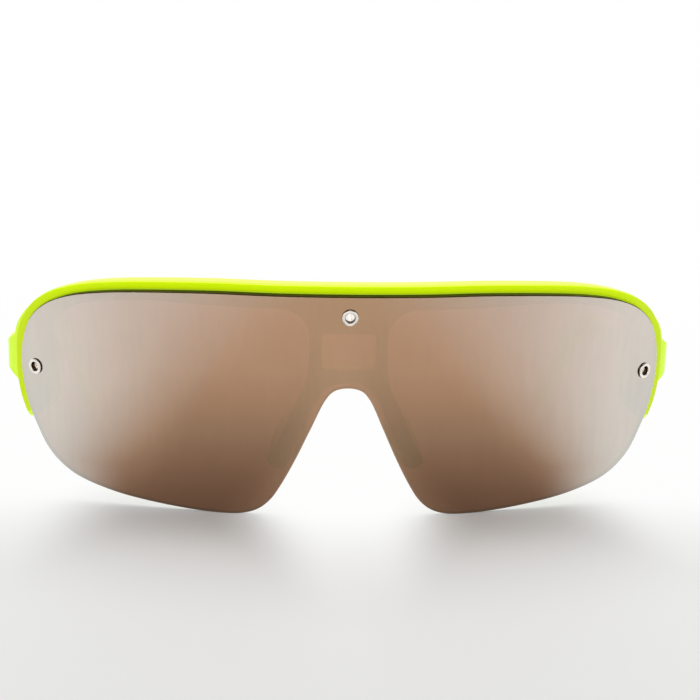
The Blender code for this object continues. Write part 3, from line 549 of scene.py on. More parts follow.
def coat_tint_and_painted_reflection(tree, parts):
    """Bronze, darker lower down, that clears to silver towards the ends, later lower down. Partly
    the coat's own tint and partly painted reflection: the dark lower middle paints the shadowed
    floor in front, the silver ends the bright surroundings.
    """
    aside = maths(tree, "ABSOLUTE", maths(tree, "SUBTRACT", parts["X"], PAINTED_REFLECTION_SHIFT))
    bronze_end = fit_range(tree, parts["Z"], BRONZE_LOW["up"], BRONZE_HIGH["up"],
                           BRONZE_LOW["out"], BRONZE_HIGH["out"])
    silver_share = fit_range(tree, aside, bronze_end, SILVER_OUT, 0, 1, "SMOOTHSTEP")
    up = fit_range(tree, parts["Z"], 0, LENS_TOP)
    bronze = add_node(tree, "ValToRGB", {0: up})
    stops = bronze.color_ramp.elements
    for position, _ in BRONZE_shares[1:-1]:
        stops.new(position)
    for stop, (_, colour) in zip(stops, BRONZE_shares):
        stop.color = colour + (1,)
    silver = mix_colours(tree, up, SILVER_LOW, SILVER_HIGH)
    return mix_colours(tree, silver_share, bronze.outputs[0], silver)


def build_wiped_group():
    """Wiping marks on a coat: faint upright streaks over broad, cloudy drifts."""
    tree, given = new_group("wiped_coat", {"Vector": ORIGIN, "Colour": WHITE, "Streaks": 0.04,
                                           "Clouds": 0.06})
    upright = add_node(tree, "Mapping", {"Vector": given["Vector"], "Scale": STREAK_STRETCH})
    streaks = noise(tree, upright.outputs[0], STREAK_SCALE, 5, 0.6)
    clouds = noise(tree, given["Vector"], CLOUD_SCALE, 3)
    level = 1
    for marks, strength in ((streaks, given["Streaks"]), (clouds, given["Clouds"])):
        centred = maths(tree, "SUBTRACT", marks, 0.5)
        level = maths(tree, "MULTIPLY_ADD", centred, strength, level)
    toned = add_node(tree, "VectorMath", {0: given["Colour"], "Scale": level}, operation="SCALE")
    return finish_group(tree, {"Colour": toned.outputs[0]})


def smudged(material, spot, colour, roughness, spread, others):
    """Give a material its colour, the smudges' uneven gloss and its other settings."""
    polish = add_group(material.node_tree, SMUDGES, {"Vector": spot, "Roughness": roughness,
                                                     "Spread": spread})
    return finish_material(material, {"Base Color": colour, "Roughness": polish["Roughness"],
                                      **others})


def lens_material():
    """The lens's face: its mirror coat, turning from bronze in the middle to silver outside, with
    painted reflection in that colour.
    """
    material, tree, spot = new_material("mirror_coated_lens")
    coat = add_group(tree, WIPED, {"Vector": spot, "Colour": coat_tint_and_painted_reflection(tree, split(tree, spot)),
                                   "Streaks": 0.09, "Clouds": 0.10})
    return smudged(material, spot, coat["Colour"], 0.035, 0.03,
                   {"Metallic": 0.72, "Transmission Weight": 1, "IOR": 1.5})


def plain_toned_material(name, tones, scale, detail, roughness, spread, others):
    """Bare plastic, its tone uneven on a given scale: the lens's dyed back, and its cut edge in a
    dark painted shade.
    """
    material, tree, spot = new_material(name)
    colour = mix_colours(tree, noise(tree, spot, scale, detail), *tones)
    return smudged(material, spot, colour, roughness, spread, others)


SMUDGES = build_smudge_group()
WIPED = build_wiped_group()
COAT = lens_material()
BARE_BACK = plain_toned_material("bare_lens_back", BACK_TONES, 45, 4, 0.03, 0.03,
                          {"Transmission Weight": 1, "IOR": 1.5})
# The cut edge is given a dark painted shade rather than its amber colour.
CUT_EDGE = plain_toned_material("lens_cut_edge_painted_shade", EDGE_SHADE_TONES, 900, 3, 0.22, 0.15,
                         {"Specular IOR Level": 0.08})

solid = flat_solid([mirrored(smooth(LENS_KNOTS, True, True))] + eyelet_holes(),
                   0, LENS_THICKNESS)
round_rims(solid, LENS_RIM, RIM_SEGMENTS)
# Faces that look up keep the dark cut-edge tone over most of their rounded rim: a painted dark band
# of shade under the brow bar.
for face in solid.faces:
    coat_ends = COAT_FACING_TOP if face.normal.z > TOP_FACING else COAT_FACING
    face.material_index = (0 if face.normal.y < coat_ends
                           else 1 if face.normal.y > BACK_FACING else 2)
bend(solid, LENS_HALF_WIDTH)
add_piece("shield_lens_fine", solid, [COAT, BARE_BACK, CUT_EDGE], "front", "shield_lens")


# Front frame
# Half frame moulded in one piece of fluorescent yellow-green plastic: brow bar, side panels that
# stand out past the lens, lugs that turn to the temples, bridge with a window, and nose legs.

UNSTRETCHED = (1, 1, 1)

FRAME_RIM = 0.45 * MM
BROW_LIP = 1.8 * MM
BEAD_HEIGHT = 0.55 * MM
BEAD_INSET = 0.12 * MM
BEAD_GAP = 0.12 * MM
BEAD_RIM = 0.25 * MM
BEAD_SIDE_RISE = 0.8 * MM
BEAD_FLARE = 0.9 * MM
BEAD_SKIN = MM / 50
BEAD_FLARE_shares = (0, 0, 0, 0, 0, 0.1, 0.3, 0.6, 1, 1, 1, 1, 0.8)
SIDE_TONE_FROM = 58 * MM
SIDE_TONE_TO = 71 * MM
SIDE_LIP = 4.3 * MM
BROW_SEAT = 2.4 * MM
SIDE_SEAT = 7.6 * MM
SIDE_LIP_shares = (0, 0, 0, 0, 0, 0, 0.17, 0.45, 1)
SIDE_SEAT_shares = (0.2, 0.2, 0.17, 0, 0, 0.05, 0.2, 0.6, 0.95, 1, 1, 0.75)
FRAME_TOE = 3.8 * MM
TOE_DOWN_share = 0.3
TOE_KNOT = 11
NOSE_KNOTS = (26, 25, 24)
BRIDGE_HALF_WIDTH = 8.5 * MM
EYE_CORNER_RADIUS = 6.2 * MM
WINDOW_HALF_WIDTH = 5.7 * MM
WINDOW_HEIGHT = 7.8 * MM
WINDOW_CORNER = 0.9 * MM
BRIDGE_BAR = 3.1 * MM
ARCH_SETBACK = 0.6 * MM
NOSE_SETBACK = 1.2 * MM
NOSE_LEG_WIDTH = 4.0 * MM
NOSE_LEG_END_share = 0.52
FOOT_ROUND_share = 1.25
LUG_ROOT_UP = (4.4 * MM, 0.4 * MM)
LUG_ROOT_DOWN = (6.2 * MM, 1.5 * MM)
LUG_FLARE_shares = ((0, 1), (0.3, 0.5), (0.65, 0.12), (1, 0))
TEMPLE_HEIGHT = 7.0 * MM

PAD_LENGTH = 10.6 * MM
PAD_WIDTH = 7 * MM
PAD_THICKNESS = 2 * MM
PAD_SPLAY = math.radians(32)
PAD_RAKE = math.radians(25)
PAD_OUT_share = 0.166
PAD_UP_share = 0.314
PAD_BEHIND = 3.5 * MM
FIN_TIP_THICKNESS = 1.19 * MM
FIN_ROOT_THICKNESS = 2.72 * MM
FIN_REACH = PAD_WIDTH / 3
FIN_HEIGHT = 7 * MM
FIN_EDGE = 0.25 * MM
PEG_RADIUS = 0.7 * MM
PEG_LENGTH = 1.2 * MM

BARREL_RADIUS = 1.5 * MM
BARREL_HEIGHT = 1.6 * MM
BARREL_GAP = 0.15 * MM
LEAF_THICKNESS = 1.0 * MM
LEAF_PROUD = 0.4 * MM
LEAF_LENGTH = 5.9 * MM
PLATE_FACE = PIN_INSET - LEAF_PROUD
LEAF_SETBACK = 1.95 * MM
PIVOT_HEAD_HEIGHT = 0.5 * MM
FIXING_RADIUS = 0.45 * MM
FIXING_SPACING = BARREL_HEIGHT * 1.7
FIXING_LENGTH = 2.2 * MM
STACK_HALF = BARREL_HEIGHT * 1.5 + BARREL_GAP
OVERRUN = 0.6 * MM
CORNER_SLICES = 16
EYE_CORNER_STEPS = 12
ROUND_STEPS = 6
ROD_SIDES = 32


def edge_offset(index, distance):
    """A point beside a knot of the lens's edge, outside it by a distance."""
    before = LENS_KNOTS[index - 1] if index else Vector((-LENS_KNOTS[1].x, LENS_KNOTS[1].y))
    along = (LENS_KNOTS[index + 1] - before).normalized()
    return LENS_KNOTS[index] + Vector((-along.y, along.x)) * distance


def level_v(height, u):
    """The v at which the lens's front face stands at a height, so that lugs run back level."""
    return (height - SIN_TILT * back_at(u)) / COS_TILT


def lug_edge(sign):
    """The lug's upper or lower edge, from its root on the frame's side to the end of the corner."""
    drop, inset = LUG_ROOT_UP if sign > 0 else LUG_ROOT_DOWN
    half = TEMPLE_HEIGHT / 2
    points = []
    for along_share, flare_share in LUG_FLARE_shares:
        u = CORNER_END - (CORNER_LENGTH + inset) * (1 - along_share)
        height = HINGE_HEIGHT + sign * (half + (drop - half) * flare_share)
        points.append(Vector((u, level_v(height, u))))
    return points


def lug_end(sign):
    v = level_v(HINGE_HEIGHT + sign * TEMPLE_HEIGHT / 2, CORNER_END + LUG_REACH)
    return Vector((CORNER_END + (BUTT_FACE + SIN_TILT * v) / COS_TILT - back_at(CORNER_END), v))


def nose_outline():
    """Down the leg's outer side, round its foot and up its inner side to the nose arch."""
    leg_outer = [edge_offset(i, -NOSE_SETBACK - NOSE_LEG_WIDTH) for i in NOSE_KNOTS]
    leg_inner = [edge_offset(i, -NOSE_SETBACK) for i in NOSE_KNOTS]
    reach = (LENS_KNOTS[NOSE_KNOTS[-1] - 1] - LENS_KNOTS[NOSE_KNOTS[-1]]) * NOSE_LEG_END_share
    foot = (leg_outer[-1] + leg_inner[-1]) / 2 + reach * FOOT_ROUND_share
    end = [leg_outer[-1] + reach, foot, leg_inner[-1] + reach]
    arch = Vector((0, LENS_KNOTS[-1].y + ARCH_SETBACK))
    window_foot = Vector((BRIDGE_HALF_WIDTH, arch.y + BRIDGE_BAR))
    shoulder = Vector((leg_inner[0].x / 2, arch.y - BRIDGE_BAR / 8))
    points = smooth([window_foot] + leg_outer + end + list(reversed(leg_inner))
                    + [shoulder, arch])
    points[-1].x = 0
    return points


def frame_outline():
    lips = [BROW_LIP + (SIDE_LIP - BROW_LIP) * share for share in SIDE_LIP_shares]
    seats = [BROW_SEAT + (SIDE_SEAT - BROW_SEAT) * share for share in SIDE_SEAT_shares]
    brow = [edge_offset(i, lip) for i, lip in enumerate(lips)]
    lug_top = lug_edge(1)
    outline = smooth(brow + lug_top[:1], starts_on_middle=True) + smooth(lug_top)[1:]
    outline += [lug_end(1), lug_end(-1)]

    toe = LENS_KNOTS[TOE_KNOT + 1].lerp(LENS_KNOTS[TOE_KNOT + 2], TOE_DOWN_share)
    toe_out = (edge_offset(TOE_KNOT + 1, 1) - LENS_KNOTS[TOE_KNOT + 1]).normalized()
    toe_end = [toe + toe_out * FRAME_TOE,
               toe + toe_out * (FRAME_TOE - BROW_LIP) - toe_out.orthogonal() * FRAME_RIM,
               toe - toe_out * (FRAME_TOE - BROW_LIP)]
    inner = [edge_offset(i, -seats[i]) for i in range(TOE_KNOT, 0, -1)]
    bridge_top = inner.pop()
    lug_foot = lug_edge(-1)
    outline += smooth(list(reversed(lug_foot)))[:-1]
    side = edge_offset(TOE_KNOT, (SIDE_LIP + FRAME_TOE) / 2)
    outline += smooth([lug_foot[0], side] + toe_end + inner)

    corner = Vector((BRIDGE_HALF_WIDTH + EYE_CORNER_RADIUS, bridge_top.y - EYE_CORNER_RADIUS))
    outline += arc(corner, EYE_CORNER_RADIUS, math.pi / 2, math.pi, EYE_CORNER_STEPS)
    return mirrored(outline + nose_outline())


def rounded_box(low, high, radius):
    corners = ((high.x, high.y), (low.x, high.y), (low.x, low.y), (high.x, low.y))
    points = []
    for number, (x, y) in enumerate(corners):
        inset_x = -radius if x == high.x else radius
        inset_y = -radius if y == high.y else radius
        centre = Vector((x + inset_x, y + inset_y))
        start = math.pi / 2 * number
        points += arc(centre, radius, start, start + math.pi / 2, ROUND_STEPS)
    return points


def window_outline():
    low_v = LENS_KNOTS[-1].y + ARCH_SETBACK + BRIDGE_BAR
    return rounded_box(Vector((-WINDOW_HALF_WIDTH, low_v)),
                       Vector((WINDOW_HALF_WIDTH, low_v + WINDOW_HEIGHT)), WINDOW_CORNER)


def box(low, high):
    solid = bmesh.new()
    size = Vector(high) - Vector(low)
    middle = (Vector(high) + Vector(low)) / 2
    bmesh.ops.create_cube(solid, size=1, matrix=Matrix.Translation(middle)
                          @ Matrix.Diagonal((*size, 1)))
    return solid


def rod(start, end, radius):
    along = end - start
    turn = along.to_track_quat("Z", "Y").to_matrix().to_4x4()
    solid = bmesh.new()
    bmesh.ops.create_cone(solid, cap_ends=True, segments=ROD_SIDES, radius1=radius, radius2=radius,
                          depth=along.length,
                          matrix=Matrix.Translation((start + end) / 2) @ turn)
    return solid


def evaluated(made):
    """The solid that an object's modifiers give."""
    result = bmesh.new()
    result.from_object(made, bpy.context.evaluated_depsgraph_get())
    return result


def discard(made):
    mesh = made.data
    bpy.data.objects.remove(made, do_unlink=True)
    bpy.data.meshes.remove(mesh)


def carve(solid, tools, operation="DIFFERENCE"):
    """Cut solids out of a solid, or join them on, with one Boolean."""
    group = bpy.data.collections.new("tools")
    made = [add_object("carve", as_mesh("carve", solid))]
    for tool in tools:
        made.append(bpy.data.objects.new("carve", as_mesh("carve", tool)))
        group.objects.link(made[-1])
    bpy.context.scene.collection.children.link(group)
    modifier = made[0].modifiers.new("carve", "BOOLEAN")
    modifier.operation = operation
    modifier.solver = "EXACT"
    modifier.operand_type = "COLLECTION"
    modifier.collection = group
    result = evaluated(made[0])
    for used in made:
        discard(used)
    bpy.data.collections.remove(group)
    bmesh.ops.remove_doubles(result, verts=result.verts, dist=WELD)
    return result


def join_rings(solid, near, far):
    """Faces between two rings of vertices."""
    for i in range(len(near)):
        j = (i + 1) % len(near)
        solid.faces.new((near[i], far[i], far[j], near[j]))


def pad_frame():
    """Middle of the nose pad, its long way, its broad way and the way out to its fin."""
    middle = place(LENS_HALF_WIDTH * PAD_OUT_share, LENS_HEIGHT * PAD_UP_share,
                   FRAME_BACK + PAD_BEHIND)
    out = Vector((math.cos(PAD_SPLAY), -math.sin(PAD_SPLAY), 0))
    long = Vector((-math.sin(PAD_RAKE), -SIN_TILT, COS_TILT)).normalized()
    out = (out - long * out.dot(long)).normalized()
    return middle, long, long.cross(out), out


def pad_fin():
    """Fin from the leg's back out behind the pad, drawn square to the pad's length."""
    middle, long, broad, out = pad_frame()
    near = PAD_THICKNESS / 2 + SEAT_GAP
    root = -PAD_BEHIND - FRAME_DEPTH / 2
    section = ((root, near), (FIN_REACH, near), (FIN_REACH, near + FIN_TIP_THICKNESS),
               (root, near + FIN_ROOT_THICKNESS))
    solid = bmesh.new()
    rings = []
    for end in (-1, 1):
        rings.append([solid.verts.new(middle + broad * along + out * off
                                      + long * (end * FIN_HEIGHT / 2)) for along, off in section])
    solid.faces.new(rings[0])
    solid.faces.new(reversed(rings[1]))
    join_rings(solid, *rings)
    turn_outward(solid)
    bmesh.ops.bevel(solid, geom=solid.edges[:], offset=FIN_EDGE, segments=3, profile=0.5,
                    affect="EDGES", clamp_overlap=True)
    return solid


def pad_peg(radius, length):
    middle, _, _, out = pad_frame()
    return rod(middle, middle + out * (PAD_THICKNESS / 2 + SEAT_GAP + length), radius)


def fixing_places(way):
    """Where a leaf's two screws stand, in front of the pivot (way -1) or behind it (way 1)."""
    back = way * (LEAF_SETBACK + LEAF_LENGTH) / 2
    for level_name, level in (("upper", 1), ("lower", -1)):
        yield level_name, PIVOT + Vector((0, back, level * FIXING_SPACING / 2))


def fixing_holes(way, start, end):
    """Tools for a leaf's two screw holes, from one depth outside the pivot to another."""
    return [rod(spot + Vector((start, 0, 0)), spot + Vector((end, 0, 0)),
                FIXING_RADIUS + METAL_GAP) for _, spot in fixing_places(way)]


def hinge_seat(way):
    """Tools that cut a leaf's pocket, the barrels' relief and the screws' blind holes."""
    inner = PLATE_FACE - OVERRUN
    outer = PLATE_FACE + LEAF_THICKNESS + POCKET_GAP
    far = way * (LEAF_LENGTH + POCKET_GAP)
    near = -way * OVERRUN
    half = STACK_HALF + POCKET_GAP
    tools = [box(PIVOT + Vector((inner, min(far, near), -half)),
                 PIVOT + Vector((outer, max(far, near), half))),
             rod(PIVOT - Vector((0, 0, half + POCKET_GAP)),
                 PIVOT + Vector((0, 0, half + PIVOT_HEAD_HEIGHT + POCKET_GAP)),
                 BARREL_RADIUS + SEAT_GAP)]
    return tools + fixing_holes(way, inner, PLATE_FACE + FIXING_LENGTH + POCKET_GAP)


def build_finish_group(name, broad_detail, broad_roughness, fine_detail):
    """A broad noise that shifts colour and gloss, and a fine one that gives a bump's height."""
    tree, given = new_group(name, {
        "Vector": ORIGIN, "Colour": WHITE, "Drift": WHITE, "Roughness": 0.3, "Spread": 0.1,
        "Broad Stretch": UNSTRETCHED, "Broad Scale": 60.0,
        "Fine Stretch": UNSTRETCHED, "Fine Scale": 4000.0})
    broad, fine = [add_node(tree, "VectorMath", {0: given["Vector"], 1: given[label]},
                            operation="MULTIPLY").outputs[0]
                   for label in ("Broad Stretch", "Fine Stretch")]
    drift = noise(tree, broad, given["Broad Scale"], broad_detail, broad_roughness)
    return finish_group(tree, {
        "Colour": mix_colours(tree, drift, given["Colour"], given["Drift"]),
        "Roughness": maths(tree, "MULTIPLY_ADD", drift, given["Spread"], given["Roughness"]),
        "Height": noise(tree, fine, given["Fine Scale"], fine_detail)})


def dress(material, group, spot, tones, finish, strength, depth, others):
    """Give a material a finish group's colour, gloss and bump, and its other settings."""
    made = add_group(material.node_tree, group, {"Vector": spot, "Colour": tones[0],
                                                 "Drift": tones[1], **finish})
    bump = add_node(material.node_tree, "Bump", {"Height": made["Height"], "Strength": strength,
                                                 "Distance": depth})
    values = {"Base Color": made["Colour"], "Roughness": made["Roughness"],
              "Normal": bump.outputs[0]}
    # Where a glow is given, it is in the material's own colour; on the neon plastic it is partly
    # painted light.
    if "Emission Strength" in others:
        values["Emission Color"] = made["Colour"]
    return finish_material(material, {**values, **others})


def neon_material(name, tones, side_tones):
    """Fluorescent plastic, with a faint spark-eroded grain and a glow in its own colour: partly its
    fluorescence, partly painted light that lifts its faces evenly.
    """
    material, tree, spot = new_material(name)
    aside = maths(tree, "ABSOLUTE", split(tree, spot)["X"])
    # Towards the sides the colour moves to the side tones; on the rim bead these are darker,
    # painted shade beside the lens.
    at_side = fit_range(tree, aside, SIDE_TONE_FROM, SIDE_TONE_TO)
    mixed = [mix_colours(tree, at_side, *pair) for pair in zip(tones, side_tones)]
    return dress(material, PLASTIC, spot, mixed, {"Roughness": 0.28, "Spread": 0.12, **GRAIN},
                 0.08, 0.02 * MM, {"Specular IOR Level": 0.7, "Specular Tint": NEON_SHEEN,
                                   "Emission Strength": NEON_GLOW})


def mix(low, high, share):
    share = clamp(share)
    return low + (high - low) * share * share * (3 - 2 * share)


def rim_bead():
    """A raised bead on the frame's front, along the lens's edge and higher at the sides."""
    outer = [edge_offset(i, BROW_LIP - BEAD_INSET + BEAD_FLARE * share)
             for i, share in enumerate(BEAD_FLARE_shares)]
    inner = [edge_offset(i, BEAD_GAP) for i in range(len(outer))]
    loop = mirrored(smooth(outer, True) + list(reversed(smooth(inner, True))))
    solid = flat_solid([loop], FRAME_FRONT - BEAD_HEIGHT, FRAME_FRONT + FRAME_RIM)
    round_rims(solid, BEAD_RIM, RIM_SEGMENTS)
    for vert in solid.verts:
        if vert.co.y < FRAME_FRONT:
            at_side = (abs(vert.co.x) - SIDE_TONE_FROM) / (SIDE_TONE_TO - SIDE_TONE_FROM)
            vert.co.y -= mix(0, BEAD_SIDE_RISE, at_side)
    bend(solid, CORNER_START)
    return solid


def is_butt_edge(edge):
    """Whether an edge stands at the lug's end, where the temple meets it."""
    return (min(abs(vert.co.x) for vert in edge.verts) > CORNER_END + LUG_REACH / 2
            and abs(edge.verts[0].co.z - edge.verts[1].co.z) > TEMPLE_HEIGHT / 2)


PLASTIC = build_finish_group("moulded_plastic", 4, 0.6, 2)
GRAIN = {"Broad Stretch": (0.35, 1, 1.6), "Broad Scale": 60, "Fine Scale": 3800}
# The emission glow is partly the plastic's fluorescence and partly painted light, lifting every
# face evenly.
NEON_GLOW = 0.47
NEON_SHEEN = (0.7, 0.95, 0.1, 1)
NEON_TONES = ((0.58, 0.86, 0.05, 1), (0.61, 0.86, 0.04, 1))
RIM_TONES = ((0.61, 0.89, 0, 1), (0.65, 0.88, 0, 1))
# The rim bead darkens towards the sides: painted shade beside the lens's edge.
RIM_SIDE_SHADE_TONES = ((0.51, 0.69, 0, 1), (0.54, 0.69, 0, 1))
NEON = neon_material("neon_plastic", NEON_TONES, NEON_TONES)
NEON_RIM = neon_material("neon_plastic_rim", RIM_TONES, RIM_SIDE_SHADE_TONES)

bead = rim_bead()
on_bead = BVHTree.FromBMesh(bead)
solid = flat_solid([frame_outline(), window_outline()] + eyelet_holes(), FRAME_FRONT, FRAME_BACK)
round_rims(solid, FRAME_RIM, RIM_SEGMENTS, is_butt_edge)
corner = [CORNER_START + CORNER_LENGTH * i / CORNER_SLICES for i in range(CORNER_SLICES + 1)]
bend(solid, CORNER_START, corner)
solid = carve(solid, [bead, pad_fin(), flipped(pad_fin())], "UNION")
tools = [pad_peg(PEG_RADIUS + POCKET_GAP, PEG_LENGTH + POCKET_GAP)] + hinge_seat(-1)
tools += [flipped(tool.copy()) for tool in tools]
solid = carve(solid, tools)
# Faces on the bead take the rim material with its painted shade at the sides.
for face in solid.faces:
    away = on_bead.find_nearest(face.calc_center_median())[3]
    face.material_index = 1 if away < BEAD_SKIN else 0
add_piece("front_frame_fine", solid, [NEON, NEON_RIM], "front", "front_frame")


# Nose pads
# Soft pads of clear-coloured rubber with a domed face, each on a peg plugged into the frame's fin.

PAD_LEVELS = 4
PAD_TONES = ((0.52, 0.78, 0.02, 1), (0.58, 0.80, 0.04, 1))


def rubber_material():
    """Soft rubber in the plastic's colour, grainier and duller, with a little light in it."""
    material, _, spot = new_material("pad_rubber")
    return dress(material, PLASTIC, spot, PAD_TONES, {"Roughness": 0.5, "Spread": 0.15, **GRAIN},
                 0.25, 0.03 * MM, {"Subsurface Weight": 0.2, "Subsurface Scale": 1.0 * MM})


def rounded_pad():
    """A block rounded by subdivision into a soft oval pad."""
    middle, long, broad, out = pad_frame()
    solid = bmesh.new()
    bmesh.ops.create_cube(solid, size=1)
    bmesh.ops.subdivide_edges(solid, edges=solid.edges, cuts=1, use_grid_fill=True)
    turn = Matrix((out, broad, long)).transposed().to_4x4()
    size = Matrix.Diagonal((PAD_THICKNESS, PAD_WIDTH, PAD_LENGTH, 1))
    solid.transform(Matrix.Translation(middle) @ turn @ size)
    made = add_object("pad", as_mesh("pad", solid))
    made.modifiers.new("round", "SUBSURF").levels = PAD_LEVELS
    smooth_pad = evaluated(made)
    discard(made)
    return smooth_pad


RUBBER = rubber_material()
for side_name, side in SIDES:
    pad = carve(rounded_pad(), [pad_peg(PEG_RADIUS, PEG_LENGTH)], "UNION")
    add_piece("nose_pad_fine_" + side_name, pad, [RUBBER], "front",
              "nose_pad_" + side_name, side=side)


# Eyelets and washers
# Three hollow rivets of bright nickel-plated brass go through the lens and the frame. Each is
# rolled over a thin washer behind, and its domed flange holds the lens in front.

EYELET_FLANGE_RADIUS = 1.75 * MM
EYELET_BORE_RADIUS = 0.97 * MM
EYELET_FLANGE_HEIGHT = 0.45 * MM
# How deep into the bore the dark painted shade reaches.
EYELET_SHADE_DEPTH = 0.9 * MM
CROWN_OUT_share = 0.4
WASHER_RADIUS = 2.2 * MM
WASHER_THICKNESS = 0.4 * MM
WASHER_EDGE = 0.08 * MM
TURNED_SIDES = 72
METAL_PATCHES = 900
NICKEL_TONES = ((0.96, 0.92, 0.86, 1), (0.86, 0.81, 0.75, 1))
# The dark brown in the bore's front and on the flange's outer edge is painted shade.
EYELET_SHADE_TONES = ((0.16, 0.09, 0.05, 1), (0.05, 0.03, 0.02, 1))


def lathe(profile, sides):
    """Turn a closed profile of (radius, height) about Z."""
    solid = bmesh.new()
    rings = []
    for step in range(sides):
        angle = 2 * math.pi * step / sides
        rings.append([solid.verts.new((radius * math.cos(angle), radius * math.sin(angle), height))
                      for radius, height in profile])
    for near, far in zip(rings, rings[1:] + rings[:1]):
        join_rings(solid, near, far)
    bmesh.ops.remove_doubles(solid, verts=solid.verts, dist=WELD)
    turn_outward(solid)
    return solid


def quarter(corner_from, corner_to, bulge, steps=6):
    """A quarter of an ellipse between two profile points, bulging towards the third."""
    points = []
    for step in range(steps + 1):
        turn = math.pi / 2 * step / steps
        start = 1 - math.sin(turn)
        end = 1 - math.cos(turn)
        points.append(tuple(bulge[i] + (corner_from[i] - bulge[i]) * start
                            + (corner_to[i] - bulge[i]) * end for i in (0, 1)))
    return points


def eyelet_profile():
    """Domed flange on the lens, tube through both, and rolled rim on the washer."""
    crown = EYELET_BORE_RADIUS + (EYELET_FLANGE_RADIUS - EYELET_BORE_RADIUS) * CROWN_OUT_share
    roll = FRAME_BACK + METAL_GAP + WASHER_THICKNESS + METAL_GAP
    points = []
    for seat, way in ((-METAL_GAP, -1), (roll, 1)):
        tip = seat + way * EYELET_FLANGE_HEIGHT
        lip = seat + way * EYELET_FLANGE_HEIGHT / 4
        run = [(EYELET_TUBE_RADIUS, seat), (EYELET_FLANGE_RADIUS, seat)]
        run += quarter((EYELET_FLANGE_RADIUS, lip), (crown, tip), (EYELET_FLANGE_RADIUS, tip))
        run += quarter((crown, tip), (EYELET_BORE_RADIUS, seat), (EYELET_BORE_RADIUS, tip))[1:]
        run.append((EYELET_BORE_RADIUS, seat - way * (EYELET_SHADE_DEPTH - METAL_GAP)))
        points += run if way < 0 else list(reversed(run))
    return points


def eyelet_seat(spot):
    """From an eyelet's own axes to its place in the drawing, with Z straight back."""
    heading = front_plan(spot.x)[2]
    back = tilt(-math.sin(heading), math.cos(heading), 0)
    across = Vector((0, -SIN_TILT, COS_TILT)).cross(back).normalized()
    turn = Matrix((across, back.cross(across), back)).transposed().to_4x4()
    return Matrix.Translation(place(spot.x, spot.y, 0)) @ turn


def washer_profile():
    front = FRAME_BACK + METAL_GAP
    back = front + WASHER_THICKNESS
    bore = EYELET_TUBE_RADIUS + METAL_GAP
    edge = WASHER_EDGE
    return [(bore, back - edge), (bore + edge, back), (WASHER_RADIUS - edge, back),
            (WASHER_RADIUS, back - edge), (WASHER_RADIUS, front + edge),
            (WASHER_RADIUS - edge, front), (bore + edge, front), (bore, front + edge)]


def metal_material(name, tones, stretch, roughness, spread, strength):
    """Plated or brushed metal: fine turned lines, and patches where the polish differs."""
    material, _, spot = new_material(name)
    return dress(material, METAL, spot, tones,
                 {"Fine Stretch": stretch, "Roughness": roughness, "Spread": spread,
                  "Broad Scale": METAL_PATCHES}, strength, 0.01 * MM, {"Metallic": 1})


METAL = build_finish_group("metal_finish", 3, 0.5, 3)
NICKEL = metal_material("nickel_plate", NICKEL_TONES, UNSTRETCHED, 0.10, 0.12, 0.05)
EYELET_SHADE = metal_material("nickel_in_painted_shade", EYELET_SHADE_TONES, UNSTRETCHED, 0.30, 0.15, 0.10)
for place_name, spot in eyelet_places():
    for label, profile in (("eyelet", eyelet_profile()), ("eyelet_washer", washer_profile())):
        ring = lathe(profile, TURNED_SIDES)
        # The bore's front and the flange's outer edge take the dark metal: painted shade, the dark
        # arcs in the bore and round the flange's top.
        for face in ring.faces:
            reaches = [vert.co.xy.length for vert in face.verts]
            in_bore = (max(reaches) < EYELET_BORE_RADIUS + METAL_GAP / 2
                       and max(vert.co.z for vert in face.verts) < EYELET_SHADE_DEPTH)
            on_edge = label == "eyelet" and min(reaches) > EYELET_FLANGE_RADIUS - METAL_GAP / 4
            face.material_index = 1 if in_bore or on_edge else 0
        ring.transform(eyelet_seat(spot))
        add_piece(label + "_fine_" + place_name, ring, [NICKEL, EYELET_SHADE], "front",
                  label + "_" + place_name)


# Hinges
# Stainless hinges let into the lugs and the temples. The front leaf has two knuckles and the
# temple leaf one; a slotted pivot screw joins them, and two small screws hold each leaf.

PIVOT_RADIUS = 0.65 * MM
PIVOT_HEAD_RADIUS = 1.2 * MM
RUNNING_CLEARANCE = 0.07 * MM
FIXING_HEAD_RADIUS = 0.8 * MM
FIXING_HEAD_HEIGHT = 0.4 * MM
LEAF_EDGE = 0.1 * MM
SLOT_WIDTH = 0.28 * MM
SLOT_DEPTH_share = 0.55
HEAD_CROWN_share = 0.6
SCREW_SIDES = 48
BARREL_SIDES = 40
STEEL_TONES = ((0.58, 0.57, 0.56, 1), (0.48, 0.47, 0.46, 1))
STEEL_STRETCH = (1, 0.08, 1)


def leaf_plan(way):
    """Plan of a leaf about its pivot: the barrel and the plate beside it, and the pin's hole."""
    inner = PLATE_FACE
    outer = inner + LEAF_THICKNESS
    meet_inner = -math.acos(inner / BARREL_RADIUS)
    meet_outer = -math.asin(0.5)
    neck = BARREL_RADIUS * math.sin(meet_outer) - (outer - BARREL_RADIUS * math.cos(meet_outer))
    points = [Vector((inner, -LEAF_LENGTH)), Vector((outer, -LEAF_LENGTH)),
              Vector((outer, neck))]
    points += arc(Vector((0, 0)), BARREL_RADIUS, meet_outer, meet_inner + 2 * math.pi,
                  BARREL_SIDES)
    hole = arc(Vector((0, 0)), PIVOT_RADIUS + RUNNING_CLEARANCE, 0, 2 * math.pi, ROD_SIDES)[:-1]
    if way > 0:
        points = [Vector((point.x, -point.y)) for point in reversed(points)]
    return points, hole


